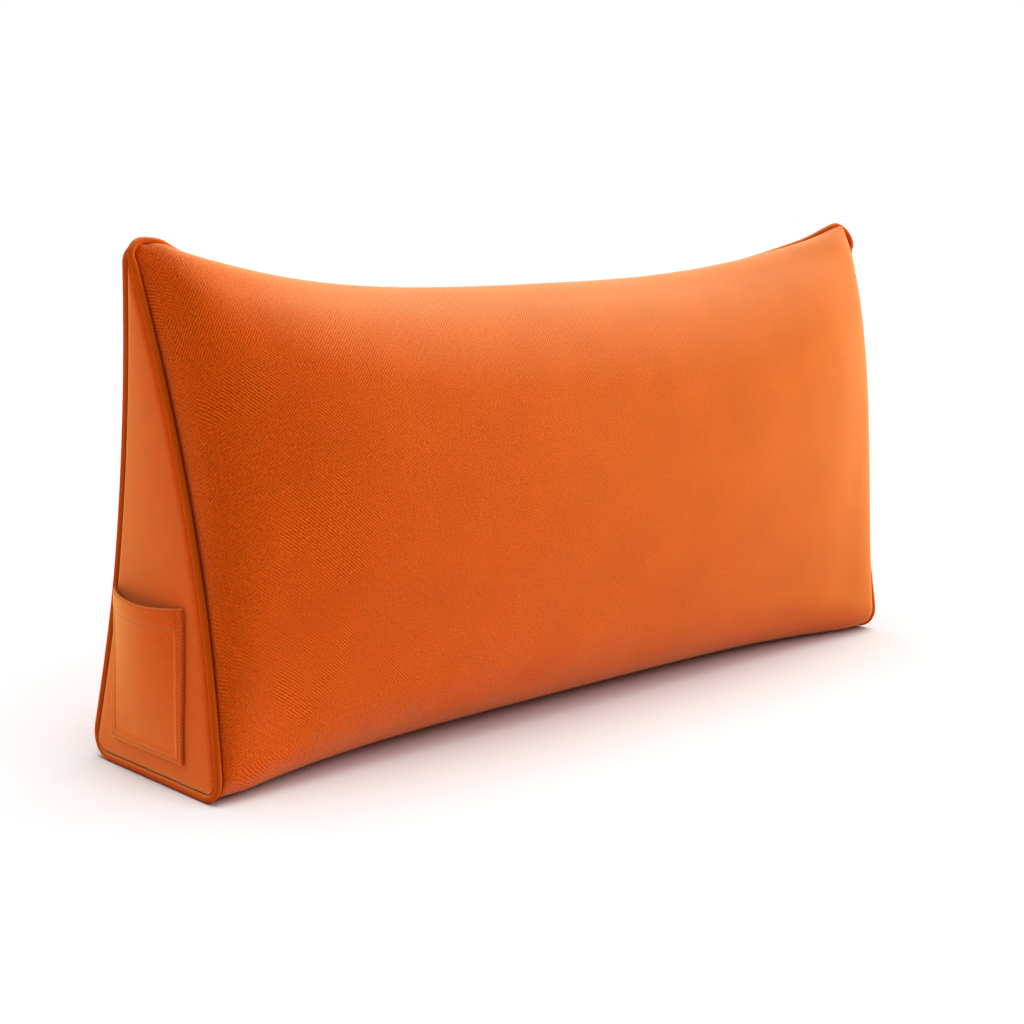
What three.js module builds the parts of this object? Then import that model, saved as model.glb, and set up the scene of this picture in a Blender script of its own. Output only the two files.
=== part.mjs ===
// A wedge-shaped back cushion that stands on its base: one filled wrap, two end panels,
// a pocket sewn to the left end, and a run of piping along every seam.
// X runs along the cushion, -Y is its front, +Z is up, and all sizes are in millimetres.
import * as THREE from 'three';

// Overall sizes, between the middles of the piping
const LENGTH = 1000;
const DEPTH = 207;
const SEAM_HEIGHT = 500;
const APEX_HALF = 3.4;
const LEAN = -15;
const SIDE_BOW = 2;

// How the ends leave the straight: drawn in at mid height, spread into ears at the top
const DRAWN_IN = 13.5;
const LEFT_SPREAD = 30;
const RIGHT_SPREAD = 24;
const LEFT_EAR = 16;
const RIGHT_EAR = 30;

// How the top seam leaves the straight: flat over each ear, then dipping to the middle
const TOP_DIP = 59;
const EAR_FLAT = 0.035;
const DIP_ALONG = 2.8;
const DIP_POWER = 1;
const SEAM_BACK = 35;
const PINCH = 3;
const PINCH_WIDTH = 20;
const PINCH_FADE = [20, 90];

// How the filled middle leaves the straight wedge
const FRONT_BELLY = 50;
const BACK_BELLY = 16;
const BELLY_HIGH = 0.24;
const BELLY_ALONG = 2.65;
const BELLY_EDGE = 2.18;
const CROWN_ALONG = 6;
const CROWN_RISE = 4;
const FRONT_TOP = 92;
const BACK_TOP = 92;
const TOP_ROUND = 10;
const FOOT_ROLL = 72;
const ROLL_ALONG = 3.7;
const BASE_SETTLE = [0, 40];

// Corners of the end seams
const FRONT_CORNER = 14;
const BACK_CORNER = 25;

// Piping, and the room that it needs
const CORD_R = 4;
const CORD_SIDES = 8;
const FLOOR_GAP = 0.2;
const CORD_CLEAR = 4.6;
const GROOVE_DEPTH = 2.4;
const GROOVE_HALF = 2.2;
const LIP_HALF = 5;
const GROOVE_FADE = [25, 80];
const BACK_CORD_TOP = 488;

// Where the rings at an end lie from the middle of the piping: inward along X, and in from the outline
const WRAP_EDGE = { inward: 4.5, inset: 0.8 };
const GROOVE_EDGE = { inward: 3.5, inset: 3.5 };
const PANEL_INSET = 4.7;

// End panels
const PANEL_THICK = 2.5;
const PIECE_GAP = 0.3;
const DOME = 9;
const DOME_POWER = 0.75;
const DOME_FOOT = 90;
const DOME_HEAD = 455;
const CAP_SHARES = [0.82, 0.6, 0.36, 0.14];

// Pocket on the left end: its corners on the panel, and how it stands open
const POCKET = { front: -59, backLow: 66, backHigh: 61, low: 29, high: 177 };
const POCKET_THICK = 2.4;
const HEM_THICK = 3.6;
const HEM_DEPTH = 20;
const POCKET_GAP = 0.7;
const MOUTH_OPEN = 13;
const MOUTH_RISE = 1.2;
const MOUTH_SAG = 4;

const CORD_Z = CORD_R + FLOOR_GAP;
const TOP_Z = CORD_Z + SEAM_HEIGHT;

// Distances of the sections from an end, and the number of rows on each stretch of a section
const SECTION_STEPS = [0, 2.5, 6, 10.5, 15.6, 22, 31, 43, 60, 85, 120, 170, 230, 300, 370, 440];
const CAP_ROWS = 8;
const CAP_SPACING = 1.35;
const SIDE_ROWS = 9;
const FOOT_ROWS = 5;
const BASE_ROWS = 5;
const SHOULDER = 0.8;

const lerp = THREE.MathUtils.lerp;
const clamp = THREE.MathUtils.clamp;
const smooth = THREE.MathUtils.smoothstep;
const heightShare = (z) => clamp((z - CORD_Z) / SEAM_HEIGHT, 0, 1);

// The end seam: how far out, how deep and where its middle lies, at a height
function endX(z, side) {
  const t = heightShare(z);
  return LENGTH / 2 - DRAWN_IN * 4 * t * (1 - t) + (side < 0 ? LEFT_SPREAD : RIGHT_SPREAD) * t;
}

const earRadius = (side) => (side < 0 ? LEFT_EAR : RIGHT_EAR);

function seamHalf(z) {
  const t = heightShare(z);
  return lerp(DEPTH / 2, APEX_HALF, t) + SIDE_BOW * 4 * t * (1 - t);
}

const middleY = (z) => LEAN * heightShare(z);

// Shares of the full belly, dip, crown and foot roll at u, from -1 at the left end to 1 at the right
const bellyShare = (u) => (1 - Math.abs(u) ** BELLY_ALONG) ** (1 / BELLY_EDGE);
const dipShare = (u) => (1 - Math.min(Math.abs(u) / (1 - EAR_FLAT), 1) ** DIP_ALONG) ** DIP_POWER;
const crownShare = (u) => 1 - Math.abs(u) ** CROWN_ALONG;
const rollShare = (u) => 1 - Math.abs(u) ** ROLL_ALONG;

// Height of the top edge, rounded over each ear; inset measures from the middle of the piping
function topZ(u, inset) {
  const ear = earRadius(u);
  const reach = endX(TOP_Z, u);
  const fromEnd = reach - Math.abs(u) * (reach - WRAP_EDGE.inward);
  const level = TOP_Z - TOP_DIP * dipShare(u);
  const short = clamp(ear - fromEnd, 0, ear - CORD_CLEAR);
  const radius = ear - inset;
  return level - ear + Math.sqrt(radius * radius - short * short);
}

const shareIn = (u, span) => smooth((LENGTH / 2) * (1 - Math.abs(u)), ...span);
const grooveShare = (u) => shareIn(u, GROOVE_FADE);

// The laws of one section at u, in from the middle of the piping by inset
function sectionLaws(u, inset) {
  const w = bellyShare(u);
  const top = topZ(u, CORD_CLEAR) + GROOVE_DEPTH * grooveShare(u) - (inset - WRAP_EDGE.inset);
  const base = lerp(CORD_Z + inset, 0, shareIn(u, BASE_SETTLE));
  const half = (z, side) => {
    const t = clamp(z / top, 0, 1);
    const belly = side < 0 ? FRONT_BELLY : BACK_BELLY;
    const width = lerp(DEPTH / 2, side < 0 ? FRONT_TOP : BACK_TOP, t);
    const crown = belly * 4 * t * (1 - t) * (1 + BELLY_HIGH * (2 * t - 1));
    const fullness = lerp(w, crownShare(u), t ** CROWN_RISE);
    return lerp(seamHalf(z) - inset, (width + crown) * Math.sqrt(1 - t ** TOP_ROUND), fullness);
  };
  const roll = (corner) => lerp(corner - inset, FOOT_ROLL, rollShare(u));
  return { top, base, half, roll, shift: SEAM_BACK * dipShare(u), pinch: PINCH * shareIn(u, PINCH_FADE) };
}

// Height of the top of a section at a distance from its middle, drawn down beside the seam
function crownHeight(laws, offset) {
  const drawn = laws.pinch * Math.exp(-(((offset - laws.shift) / PINCH_WIDTH) ** 2));
  let low = laws.top * SHOULDER;
  let high = laws.top;
  if (laws.half(high, offset) >= Math.abs(offset)) return high - drawn;
  for (let i = 0; i < 30; i += 1) {
    const mid = (low + high) / 2;
    if (laws.half(mid, offset) > Math.abs(offset)) low = mid;
    else high = mid;
  }
  return (low + high) / 2 - drawn;
}

// The seam point on top of a section, with the surface's own directions there
function seamSeat(laws) {
  const reach = 3;
  const before = crownHeight(laws, laws.shift - reach);
  const after = crownHeight(laws, laws.shift + reach);
  const tilt = Math.atan2(before - after, 2 * reach);
  const point = new THREE.Vector2(laws.shift, crownHeight(laws, laws.shift));
  return {
    point,
    normal: new THREE.Vector2(Math.sin(tilt), Math.cos(tilt)),
    along: new THREE.Vector2(Math.cos(tilt), -Math.sin(tilt)),
  };
}

// One closed section as rows of (offset from the middle, height): from the groove down the front,
// across the base and up the back
function section(u, inset) {
  const laws = sectionLaws(u, inset);
  const seat = seamSeat(laws);
  const depth = GROOVE_DEPTH * grooveShare(u);
  const groove = (side) => seat.point.clone()
    .addScaledVector(seat.normal, -depth)
    .addScaledVector(seat.along, side * GROOVE_HALF);
  const shoulderZ = laws.top * SHOULDER;
  const shoulder = (side) => laws.half(shoulderZ, side);
  const crownTurn = (offset) => Math.acos(clamp(-offset / shoulder(offset), -1, 1));
  const lipTurn = (side) => crownTurn(laws.shift + side * LIP_HALF);
  const crown = (turn) => {
    const offset = -shoulder(turn < Math.PI / 2 ? -1 : 1) * Math.cos(turn);
    return new THREE.Vector2(offset, crownHeight(laws, offset));
  };
  const sideRows = (side, corner) => {
    const rows = [];
    const radius = laws.roll(corner);
    const foot = laws.base + radius;
    for (let i = 0; i < SIDE_ROWS; i += 1) {
      const z = lerp(shoulderZ, foot, i / SIDE_ROWS);
      rows.push(new THREE.Vector2(side * laws.half(z, side), z));
    }
    for (let i = 0; i <= FOOT_ROWS; i += 1) {
      const turn = (Math.PI / 2) * (i / FOOT_ROWS);
      const z = laws.base + radius * (1 - Math.sin(turn));
      rows.push(new THREE.Vector2(side * (laws.half(z, side) - radius * (1 - Math.cos(turn))), z));
    }
    return rows;
  };
  const front = sideRows(-1, FRONT_CORNER);
  const back = sideRows(1, BACK_CORNER).reverse();
  const rows = [groove(-1)];
  const capShare = (i) => (i / CAP_ROWS) ** CAP_SPACING;
  for (let i = 0; i < CAP_ROWS; i += 1) rows.push(crown(lipTurn(-1) * (1 - capShare(i))));
  rows.push(...front);
  const from = front.at(-1);
  const to = back[0];
  for (let i = 1; i <= BASE_ROWS; i += 1) rows.push(from.clone().lerp(to, i / (BASE_ROWS + 1)));
  rows.push(...back);
  for (let i = CAP_ROWS - 1; i >= 0; i -= 1) rows.push(crown(lerp(lipTurn(1), Math.PI, capShare(i))));
  rows.push(groove(1));
  return rows;
}

// The outer face of an end panel stands out in a low dome from the plane of the piping
function panelX(y, z, side) {
  const half = Math.max(seamHalf(z) - PANEL_INSET, 1);
  const across = clamp((y - middleY(z)) / half, -1, 1);
  const low = CORD_Z + PANEL_INSET;
  const high = TOP_Z - earRadius(side) - PANEL_INSET;
  const foot = clamp((DOME_FOOT - z) / (DOME_FOOT - low), 0, 1);
  const head = clamp((z - DOME_HEAD) / (high - DOME_HEAD), 0, 1);
  const rise = DOME * (half / (DEPTH / 2)) ** DOME_POWER;
  return endX(z, side) + rise * (1 - across ** 2) * (1 - foot ** 2) * (1 - head ** 2);
}

// Loops of an end face, drawn in step by step from its rim towards a middle line
function faceLoops(side) {
  const rim = section(side, PANEL_INSET).map((row) => new THREE.Vector2(middleY(row.y) + row.x, row.y));
  const loops = [rim];
  for (const share of CAP_SHARES) {
    loops.push(rim.map((point) => {
      const spineZ = clamp(point.y, DOME_FOOT, DOME_HEAD);
      return new THREE.Vector2(
        lerp(middleY(spineZ), point.x, share),
        lerp(spineZ, point.y, share),
      );
    }));
  }
  return loops;
}

// A mesh made of closed rings of the same number of points, joined in turn
class RingSolid {
  constructor(rings, crossed = () => false) {
    this.positions = rings.flat().flatMap((point) => [point.x, point.y, point.z]);
    this.indices = [];
    this.size = rings[0].length;
    for (let r = 0; r < rings.length - 1; r += 1) this.band(r, r + 1, crossed(r));
  }

  // Joins two rings; a crossed band takes the other diagonal of each of its quads
  band(first, second, crossed) {
    for (let i = 0; i < this.size; i += 1) {
      const j = (i + 1) % this.size;
      const [a, b] = [first * this.size + i, first * this.size + j];
      const [c, d] = [second * this.size + i, second * this.size + j];
      this.indices.push(...(crossed ? [a, b, c, b, d, c] : [a, b, d, a, d, c]));
    }
  }

  // Closes a ring by joining each point of its first half to the one level with it on the second
  fill(ring, flip) {
    const at = (index) => ring * this.size + index;
    for (let i = 0; 2 * i < this.size - 2; i += 1) {
      const [a, b, c, d] = [at(i), at(i + 1), at(this.size - 2 - i), at(this.size - 1 - i)];
      const faces = b === c ? [a, b, d] : [a, b, c, a, c, d];
      this.indices.push(...(flip ? faces.reverse() : faces));
    }
  }

  geometry() {
    const geometry = new THREE.BufferGeometry();
    geometry.setAttribute('position', new THREE.Float32BufferAttribute(this.positions, 3));
    geometry.setIndex(this.indices);
    return geometry;
  }
}

const shares = () => {
  const left = SECTION_STEPS.map((step) => -1 + step / (LENGTH / 2));
  return [...left, 0, ...left.map((u) => -u).reverse()];
};

// The filled wrap: front, base and back in one, closed at each end behind its panel
function wrapGeometry() {
  const place = (row, x) => new THREE.Vector3(x, middleY(row.y) + row.x, row.y);
  const endRings = (side) => {
    const groove = section(side, GROOVE_EDGE.inset)
      .map((row) => place(row, side * (endX(row.y, side) - GROOVE_EDGE.inward)));
    const caps = faceLoops(side).map((loop) => loop.map((point) => new THREE.Vector3(
      side * (panelX(point.x, point.y, side) - PANEL_THICK - PIECE_GAP), point.x, point.y)));
    return [groove, ...caps];
  };
  const sections = shares().map((u) => section(u, WRAP_EDGE.inset)
    .map((row) => place(row, u * (endX(row.y, u) - WRAP_EDGE.inward))));
  const rings = [...endRings(-1).reverse(), ...sections, ...endRings(1)];
  const solid = new RingSolid(rings);
  solid.fill(0, true);
  solid.fill(rings.length - 1, false);
  return solid.geometry();
}

// An end panel: a cloth sheet with a domed outer face, and an inner face on the same triangles as
// the end of the wrap behind it
function panelGeometry(side) {
  const loops = faceLoops(side);
  const face = (inward) => loops.map((loop) => loop.map((point) => new THREE.Vector3(
    side * (panelX(point.x, point.y, side) - inward), point.x, point.y)));
  const outer = face(0);
  const inner = face(PANEL_THICK);
  const rings = side < 0 ? [...outer.reverse(), ...inner] : [...inner.reverse(), ...outer];
  const solid = new RingSolid(rings, (r) => (side < 0 ? r >= loops.length : r < loops.length - 1));
  solid.fill(0, true);
  solid.fill(rings.length - 1, false);
  return solid.geometry();
}

// The pocket: a sheet sewn to the left panel along three sides, standing open at its mouth
function pocketGeometry() {
  const columns = 18;
  const rows = 16;
  const hemShare = 1 - HEM_DEPTH / (POCKET.high - POCKET.low);
  const upShares = [];
  for (let i = 0; i <= rows; i += 1) upShares.push(i / rows);
  upShares.splice(upShares.findIndex((q) => q > hemShare), 0, hemShare - 0.004, hemShare + 0.004);
  const surface = (p, q, out) => {
    const sag = MOUTH_SAG * Math.sin(Math.PI * p ** 1.3) * q ** 4;
    const z = lerp(POCKET.low, POCKET.high, q) - sag;
    const y = lerp(lerp(POCKET.backLow, POCKET.backHigh, q), POCKET.front, p);
    const open = MOUTH_OPEN * Math.sin(Math.PI * p ** 0.85) ** 0.9 * q ** MOUTH_RISE;
    return new THREE.Vector3(-(panelX(y, z, -1) + POCKET_GAP + open + out), y, z);
  };
  const grid = (out) => upShares.map((q) => {
    const line = [];
    for (let i = 0; i <= columns; i += 1) line.push(surface(i / columns, q, out(q)));
    return line;
  });
  const inner = grid(() => 0);
  const outer = grid((q) => (q > hemShare ? HEM_THICK : POCKET_THICK));
  const rings = inner.map((line, i) => [...outer[i], ...line.reverse()]);
  const solid = new RingSolid(rings);
  solid.fill(0, true);
  solid.fill(rings.length - 1, false);
  return solid.geometry();
}

// The middle line of the piping around one end, from the top of the back edge to the ear's start
function endCordPoints(side) {
  const points = [];
  const put = (y, z) => points.push(new THREE.Vector3(side * endX(z, side), y, z));
  const edge = (direction, corner, z) => {
    const short = clamp(1 - (z - CORD_Z) / corner, 0, 1);
    return middleY(z) + direction * (seamHalf(z) - corner * (1 - Math.sqrt(1 - short * short)));
  };
  const run = (direction, corner, from, to, count) => {
    for (let i = 0; i <= count; i += 1) {
      const z = lerp(from, to, i / count);
      put(edge(direction, corner, z), z);
    }
  };
  const corner = (direction, radius, turns, reversed) => {
    for (let i = 1; i <= turns; i += 1) {
      const share = reversed ? 1 - i / (turns + 1) : i / (turns + 1);
      const turn = (Math.PI / 2) * share;
      const z = CORD_Z + radius * (1 - Math.sin(turn));
      put(edge(direction, radius, z), z);
    }
  };
  run(1, BACK_CORNER, BACK_CORD_TOP, CORD_Z + BACK_CORNER, 14);
  corner(1, BACK_CORNER, 5, false);
  const foot = (direction, radius) => direction * (DEPTH / 2 - radius);
  for (let i = 0; i <= 6; i += 1) {
    put(lerp(foot(1, BACK_CORNER), foot(-1, FRONT_CORNER), i / 6), CORD_Z);
  }
  corner(-1, FRONT_CORNER, 4, true);
  run(-1, FRONT_CORNER, CORD_Z + FRONT_CORNER, TOP_Z - earRadius(side), 16);
  return points;
}

// The piping over one ear, from the front edge round to the top edge
function earCordPoints(side) {
  const points = [];
  const ear = earRadius(side);
  const centreX = endX(TOP_Z, side) - ear;
  const centreZ = TOP_Z - ear;
  const fromY = middleY(centreZ) - seamHalf(centreZ);
  const toY = middleY(TOP_Z);
  const turns = 6;
  for (let i = 1; i <= turns; i += 1) {
    const turn = (Math.PI / 2) * (i / (turns + 1));
    points.push(new THREE.Vector3(
      side * (centreX + ear * Math.cos(turn)),
      lerp(fromY, toY, smooth(i / (turns + 1), 0, 1)),
      centreZ + ear * Math.sin(turn),
    ));
  }
  return points;
}

// The piping along the top seam, over the groove of each section
function topCordPoints() {
  const inRun = (u) => {
    const reach = endX(TOP_Z, u);
    return reach - Math.abs(u) * (reach - WRAP_EDGE.inward) > earRadius(u);
  };
  return shares().filter(inRun).map((u) => {
    const laws = sectionLaws(u, WRAP_EDGE.inset);
    const seat = seamSeat(laws);
    const lift = CORD_CLEAR - GROOVE_DEPTH * grooveShare(u);
    const middle = seat.point.clone().addScaledVector(seat.normal, lift);
    const x = u * (endX(middle.y, u) - WRAP_EDGE.inward);
    return new THREE.Vector3(x, middleY(middle.y) + middle.x, middle.y);
  });
}

// A path that passes through given points, one step from each to the next
class StationPath extends THREE.Curve {
  constructor(points) {
    super();
    this.points = points;
  }

  getPoint(share) {
    const last = this.points.length - 1;
    const at = clamp(share, 0, 1) * last;
    const index = Math.min(Math.floor(at), last - 1);
    return this.points[index].clone().lerp(this.points[index + 1], at - index);
  }

  getPointAt(share) {
    return this.getPoint(share);
  }

  getTangentAt(share) {
    const step = 0.5 / (this.points.length - 1);
    return this.getPoint(share + step).sub(this.getPoint(share - step)).normalize();
  }
}

function pipingGeometry() {
  const points = [
    ...endCordPoints(-1),
    ...earCordPoints(-1),
    ...topCordPoints(),
    ...earCordPoints(1).reverse(),
    ...endCordPoints(1).reverse(),
  ];
  const round = new THREE.Shape();
  for (let i = 0; i < CORD_SIDES; i += 1) {
    const turn = (2 * Math.PI * (i + 0.5)) / CORD_SIDES;
    const [x, y] = [CORD_R * Math.cos(turn), CORD_R * Math.sin(turn)];
    if (i === 0) round.moveTo(x, y);
    else round.lineTo(x, y);
  }
  round.closePath();
  return new THREE.ExtrudeGeometry(round, {
    steps: points.length - 1,
    extrudePath: new StationPath(points),
    bevelEnabled: false,
  });
}

// Short-pile cloth: one orange for the wrap, and a slightly paler one for the smoother pieces
const pile = (color) => new THREE.MeshStandardMaterial({ color, roughness: 0.92, metalness: 0 });

function piece(name, geometry, color) {
  const mesh = new THREE.Mesh(geometry, pile(color));
  mesh.name = name;
  return mesh;
}

const cushion = new THREE.Group();
cushion.add(piece('cushion_body', wrapGeometry(), 0xd2601f));
cushion.add(piece('end_panel_left', panelGeometry(-1), 0xc95c22));
cushion.add(piece('end_panel_right', panelGeometry(1), 0xc95c22));
cushion.add(piece('piping', pipingGeometry(), 0xbd5118));
cushion.add(piece('pocket_left', pocketGeometry(), 0xcb5f24));

// The origin is at the middle of the floor area that the cushion covers
const bounds = new THREE.Box3().setFromObject(cushion);
cushion.position.set(0, -(bounds.min.y + bounds.max.y) / 2, 0);

export default cushion;
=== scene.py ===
"""A wedge-shaped back cushion in orange short-pile velvet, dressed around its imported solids.

The cushion stands on its base: a filled wrap, two end panels, piping along the seams and a pocket on the
left end. Sizes are in millimetres until a mesh is made, and X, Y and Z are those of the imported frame.
"""

import logging
import math
from dataclasses import dataclass, field
from enum import Enum
from functools import partial
from typing import Any, Callable, Sequence

import bpy
import numpy as np
from mathutils import Matrix, Vector

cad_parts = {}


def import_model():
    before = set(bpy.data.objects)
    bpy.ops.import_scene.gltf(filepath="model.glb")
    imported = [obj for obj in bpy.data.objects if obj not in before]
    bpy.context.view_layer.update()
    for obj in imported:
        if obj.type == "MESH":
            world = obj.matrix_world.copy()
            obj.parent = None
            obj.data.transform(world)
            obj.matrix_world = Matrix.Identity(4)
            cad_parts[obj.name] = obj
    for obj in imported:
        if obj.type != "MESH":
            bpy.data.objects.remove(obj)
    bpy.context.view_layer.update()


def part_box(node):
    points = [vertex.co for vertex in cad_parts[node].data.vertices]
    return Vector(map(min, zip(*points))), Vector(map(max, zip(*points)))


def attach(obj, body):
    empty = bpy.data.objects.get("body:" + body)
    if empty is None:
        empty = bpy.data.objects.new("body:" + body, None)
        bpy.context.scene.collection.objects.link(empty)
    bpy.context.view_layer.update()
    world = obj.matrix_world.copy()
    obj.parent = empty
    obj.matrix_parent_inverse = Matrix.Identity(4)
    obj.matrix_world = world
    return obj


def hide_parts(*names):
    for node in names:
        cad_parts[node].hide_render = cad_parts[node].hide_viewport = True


log = logging.getLogger("cushion")

MM = 0.001
BODY = "root"
CLOTH_PLACE = "cloth_place"
# Mesh attribute of painted shade: in the creases beside the piping, inside the pocket and where each stitch
# dips
CREASE_SHADE = "crease_shade"
# Height, pitch and shift of each sine of an irregular wave
SINES = ((1.0, 1.0, 1.0), (0.7, 0.61, 2.3), (0.5, 1.73, 4.1))
Piece = bpy.types.Object
Socket = bpy.types.NodeSocket
AddNode = Callable[..., bpy.types.Node]


class End(Enum):
    """An end of the cushion, with the sign of X there."""

    LEFT = -1
    RIGHT = 1


class Face(Enum):
    """A long face of the cushion, with the sign of Y there."""

    FRONT = -1
    BACK = 1


def linear(hex_color: str) -> tuple[float, float, float, float]:
    """Turns an sRGB hex colour to Blender's linear one.

    Args:
        hex_color: six hex digits, such as "c2571f".

    Returns:
        Red, green, blue and an alpha of 1.
    """
    parts = [int(hex_color[i : i + 2], 16) / 255 for i in (0, 2, 4)]
    return (*(c / 12.92 if c <= 0.04045 else ((c + 0.055) / 1.055) ** 2.4 for c in parts), 1.0)


def smooth(value: np.ndarray, low: float, high: float) -> np.ndarray:
    """Rises from 0 at low to 1 at high, level at both ends.

    Args:
        value: where to read it.
        low: the last value that gives 0.
        high: the first value that gives 1.

    Returns:
        The shares.
    """
    t = np.clip((value - low) / (high - low), 0, 1)
    return t * t * (3 - 2 * t)


def mix(a: Any, b: Any, t: Any) -> Any:
    """The value a share t of the way from a to b."""
    return a + (b - a) * t


def bow(t: Any) -> Any:
    """A curve that is 0 at t = 0 and at t = 1, and 1 half way."""
    return 4 * t * (1 - t)


def evened(before: np.ndarray, at: np.ndarray, after: np.ndarray) -> np.ndarray:
    """Values evened out with their neighbours on both sides."""
    return (before + 2 * at + after) / 4


def respaced(points: np.ndarray, count: int) -> np.ndarray:
    """Puts points at equal steps along a line.

    Args:
        points: the line's points, one a row.
        count: how many points to return, both ends included.

    Returns:
        The new points.
    """
    along = np.concatenate([[0.0], np.cumsum(np.linalg.norm(np.diff(points, axis=0), axis=1))])
    at = np.linspace(0, along[-1], count)
    return np.stack([np.interp(at, along, column) for column in points.T], axis=1)


def wander(along: np.ndarray, wavelength: float, seed: float) -> np.ndarray:
    """An irregular wave between about -1 and 1, from a few sines that never fall in step.

    Args:
        along: where to read it, in the wavelength's unit.
        wavelength: the mean length of its waves.
        seed: shifts the sines, so that two waves differ.

    Returns:
        The wave's height at each place.
    """
    turn = 2 * math.pi * along / wavelength
    waves = sum(height * np.sin(pitch * turn + shift * seed) for height, pitch, shift in SINES)
    return waves / sum(height for height, *_ in SINES)


@dataclass(frozen=True)
class WedgeForm:
    """The form of the filled cushion, in millimetres, by the laws that its solids follow.

    The pairs foot_out, roll, spread, ear_radius, dip_along and front_corner are for the left end and the
    right one. The other pairs say where something sets in and where it is full.
    """

    length: float = 1000
    depth: float = 211
    seam_height: float = 500
    apex_half: float = 1.5
    lean: float = -15
    side_bow: float = 2
    drawn_in: float = 13.5
    foot_out: tuple[float, float] = (3, -1)
    foot_top: float = 200
    roll: tuple[float, float] = (2, 4)
    roll_width: float = 13
    roll_fade: tuple[float, float] = (40, 240)
    roll_top: tuple[float, float] = (0.92, 1.0)
    spread: tuple[float, float] = (30, 24)
    ear_radius: tuple[float, float] = (16, 30)
    ear_fill: float = 4.5
    ear_filled: float = 0.6
    top_dip: float = 54.5
    ear_flat: float = 0.055
    dip_along: tuple[float, float] = (3.5, 2.7)
    seam_back: float = 35
    pinch: float = 7
    pinch_from: tuple[float, float] = (6, 75)
    pinch_width: float = 16
    front_belly: float = 50
    back_belly: float = 16
    belly_high: float = 0.24
    belly_along: float = 2.65
    belly_edge: float = 2.18
    crown_along: float = 6
    crown_rise: float = 4
    top_width: float = 92
    top_round: float = 10
    foot_roll: float = 84
    roll_along: float = 3.7
    front_corner: tuple[float, float] = (22, 28)
    back_corner: float = 27
    base_lift: tuple[float, float] = (0, 40)
    cord_height: float = 4.2
    cord_clear: float = 4.0
    groove_depth: float = 4.5
    groove_fade: tuple[float, float] = (4, 16)
    groove_half: float = 2.2
    lip_half: float = 5
    shoulder: float = 0.8
    edge_inward: float = 4.2
    edge_inset: float = -0.5
    tilt_reach: float = 3
    halvings: int = 30

    @staticmethod
    def at_end(pair: tuple[float, float], side: float) -> float:
        """The size in a pair that belongs to the end of that sign."""
        return pair[0] if side < 0 else pair[1]

    @property
    def top_z(self) -> float:
        """Height of the middle of the piping over the ears."""
        return self.cord_height + self.seam_height

    def height_share(self, z: np.ndarray) -> np.ndarray:
        """Share of the seam's height at z."""
        return np.clip((z - self.cord_height) / self.seam_height, 0, 1)

    def end_x(self, z: np.ndarray, side: float) -> np.ndarray:
        """How far the end seam lies from the middle of the cushion at a height, on the end of that sign."""
        t = self.height_share(z)
        foot = self.at_end(self.foot_out, side) * (1 - smooth(z, 0, self.foot_top))
        return self.length / 2 - self.drawn_in * bow(t) + self.at_end(self.spread, side) * t + foot

    def corner(self, side: float, face: Face) -> float:
        """Radius of the corner at the foot of an end, to the middle of its piping."""
        return self.back_corner if face is Face.BACK else self.at_end(self.front_corner, side)

    def ear(self, side: float) -> float:
        """Radius of the ear on the end of that sign."""
        return self.at_end(self.ear_radius, side)

    def seam_half(self, z: np.ndarray) -> np.ndarray:
        """Half the depth of an end, to the middle of its piping, at a height."""
        t = self.height_share(z)
        return mix(self.depth / 2, self.apex_half, t) + self.side_bow * bow(t)

    def middle_y(self, z: np.ndarray) -> np.ndarray:
        """Where the middle of a section lies at a height."""
        return self.lean * self.height_share(z)

    def belly_share(self, u: float) -> float:
        """Share of the full belly at u, from -1 at the left end to 1 at the right."""
        return (1 - abs(u) ** self.belly_along) ** (1 / self.belly_edge)

    def dip_share(self, u: float) -> float:
        """Share of the full dip of the top seam at u."""
        return 1 - min(abs(u) / (1 - self.ear_flat), 1) ** self.at_end(self.dip_along, u)

    def share_in(self, u: float, low: float, high: float) -> float:
        """Rises from 0 to 1 between two distances from the nearer end."""
        return float(smooth(np.float64(self.length / 2 * (1 - abs(u))), low, high))

    def from_ear(self, u: float) -> float:
        """How far a section's top lies in from the outermost point of the nearer ear."""
        reach = self.end_x(np.float64(self.top_z), u)
        return reach - abs(u) * (reach - self.edge_inward)

    def top(self, u: float, inset: float) -> float:
        """Height of a section's top.

        Args:
            u: place along the cushion.
            inset: how far in from the middle of the piping.

        Returns:
            The height.
        """
        ear, from_ear = self.ear(u), self.from_ear(u)
        level = self.top_z - self.top_dip * self.dip_share(u) - ear
        short = min(max(ear - from_ear, 0), ear - self.cord_clear)
        curve = math.sqrt((ear - self.cord_clear) ** 2 - short**2)
        filled = self.ear_fill * (1 - float(smooth(np.float64(from_ear), self.ear_filled * ear, ear)))
        return level + curve + filled + self.groove_depth * self.groove_share(u) - (inset - self.edge_inset)

    def groove_share(self, u: float) -> float:
        """Share of the full groove under the top piping at u."""
        return self.share_in(u, *self.groove_fade)

    def half(self, z: np.ndarray, u: float, inset: float, face: Face) -> np.ndarray:
        """How far a section's surface stands from its middle.

        Args:
            z: heights.
            u: place along the cushion.
            inset: how far in from the middle of the piping.
            face: the front or the back.

        Returns:
            The distances.
        """
        t = np.clip(z / self.top(u, inset), 0, 1)
        belly = self.front_belly if face is Face.FRONT else self.back_belly
        crown = belly * bow(t) * (1 + self.belly_high * (2 * t - 1))
        fullness = mix(self.belly_share(u), 1 - abs(u) ** self.crown_along, t**self.crown_rise)
        round_off = np.sqrt(np.maximum(1 - t**self.top_round, 0))
        full = (mix(self.depth / 2, self.top_width, t) + crown) * round_off
        rolled = self.end_roll(u) * (1 - smooth(t, *self.roll_top))
        return mix(self.seam_half(z) - inset, full, fullness) + rolled

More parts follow.
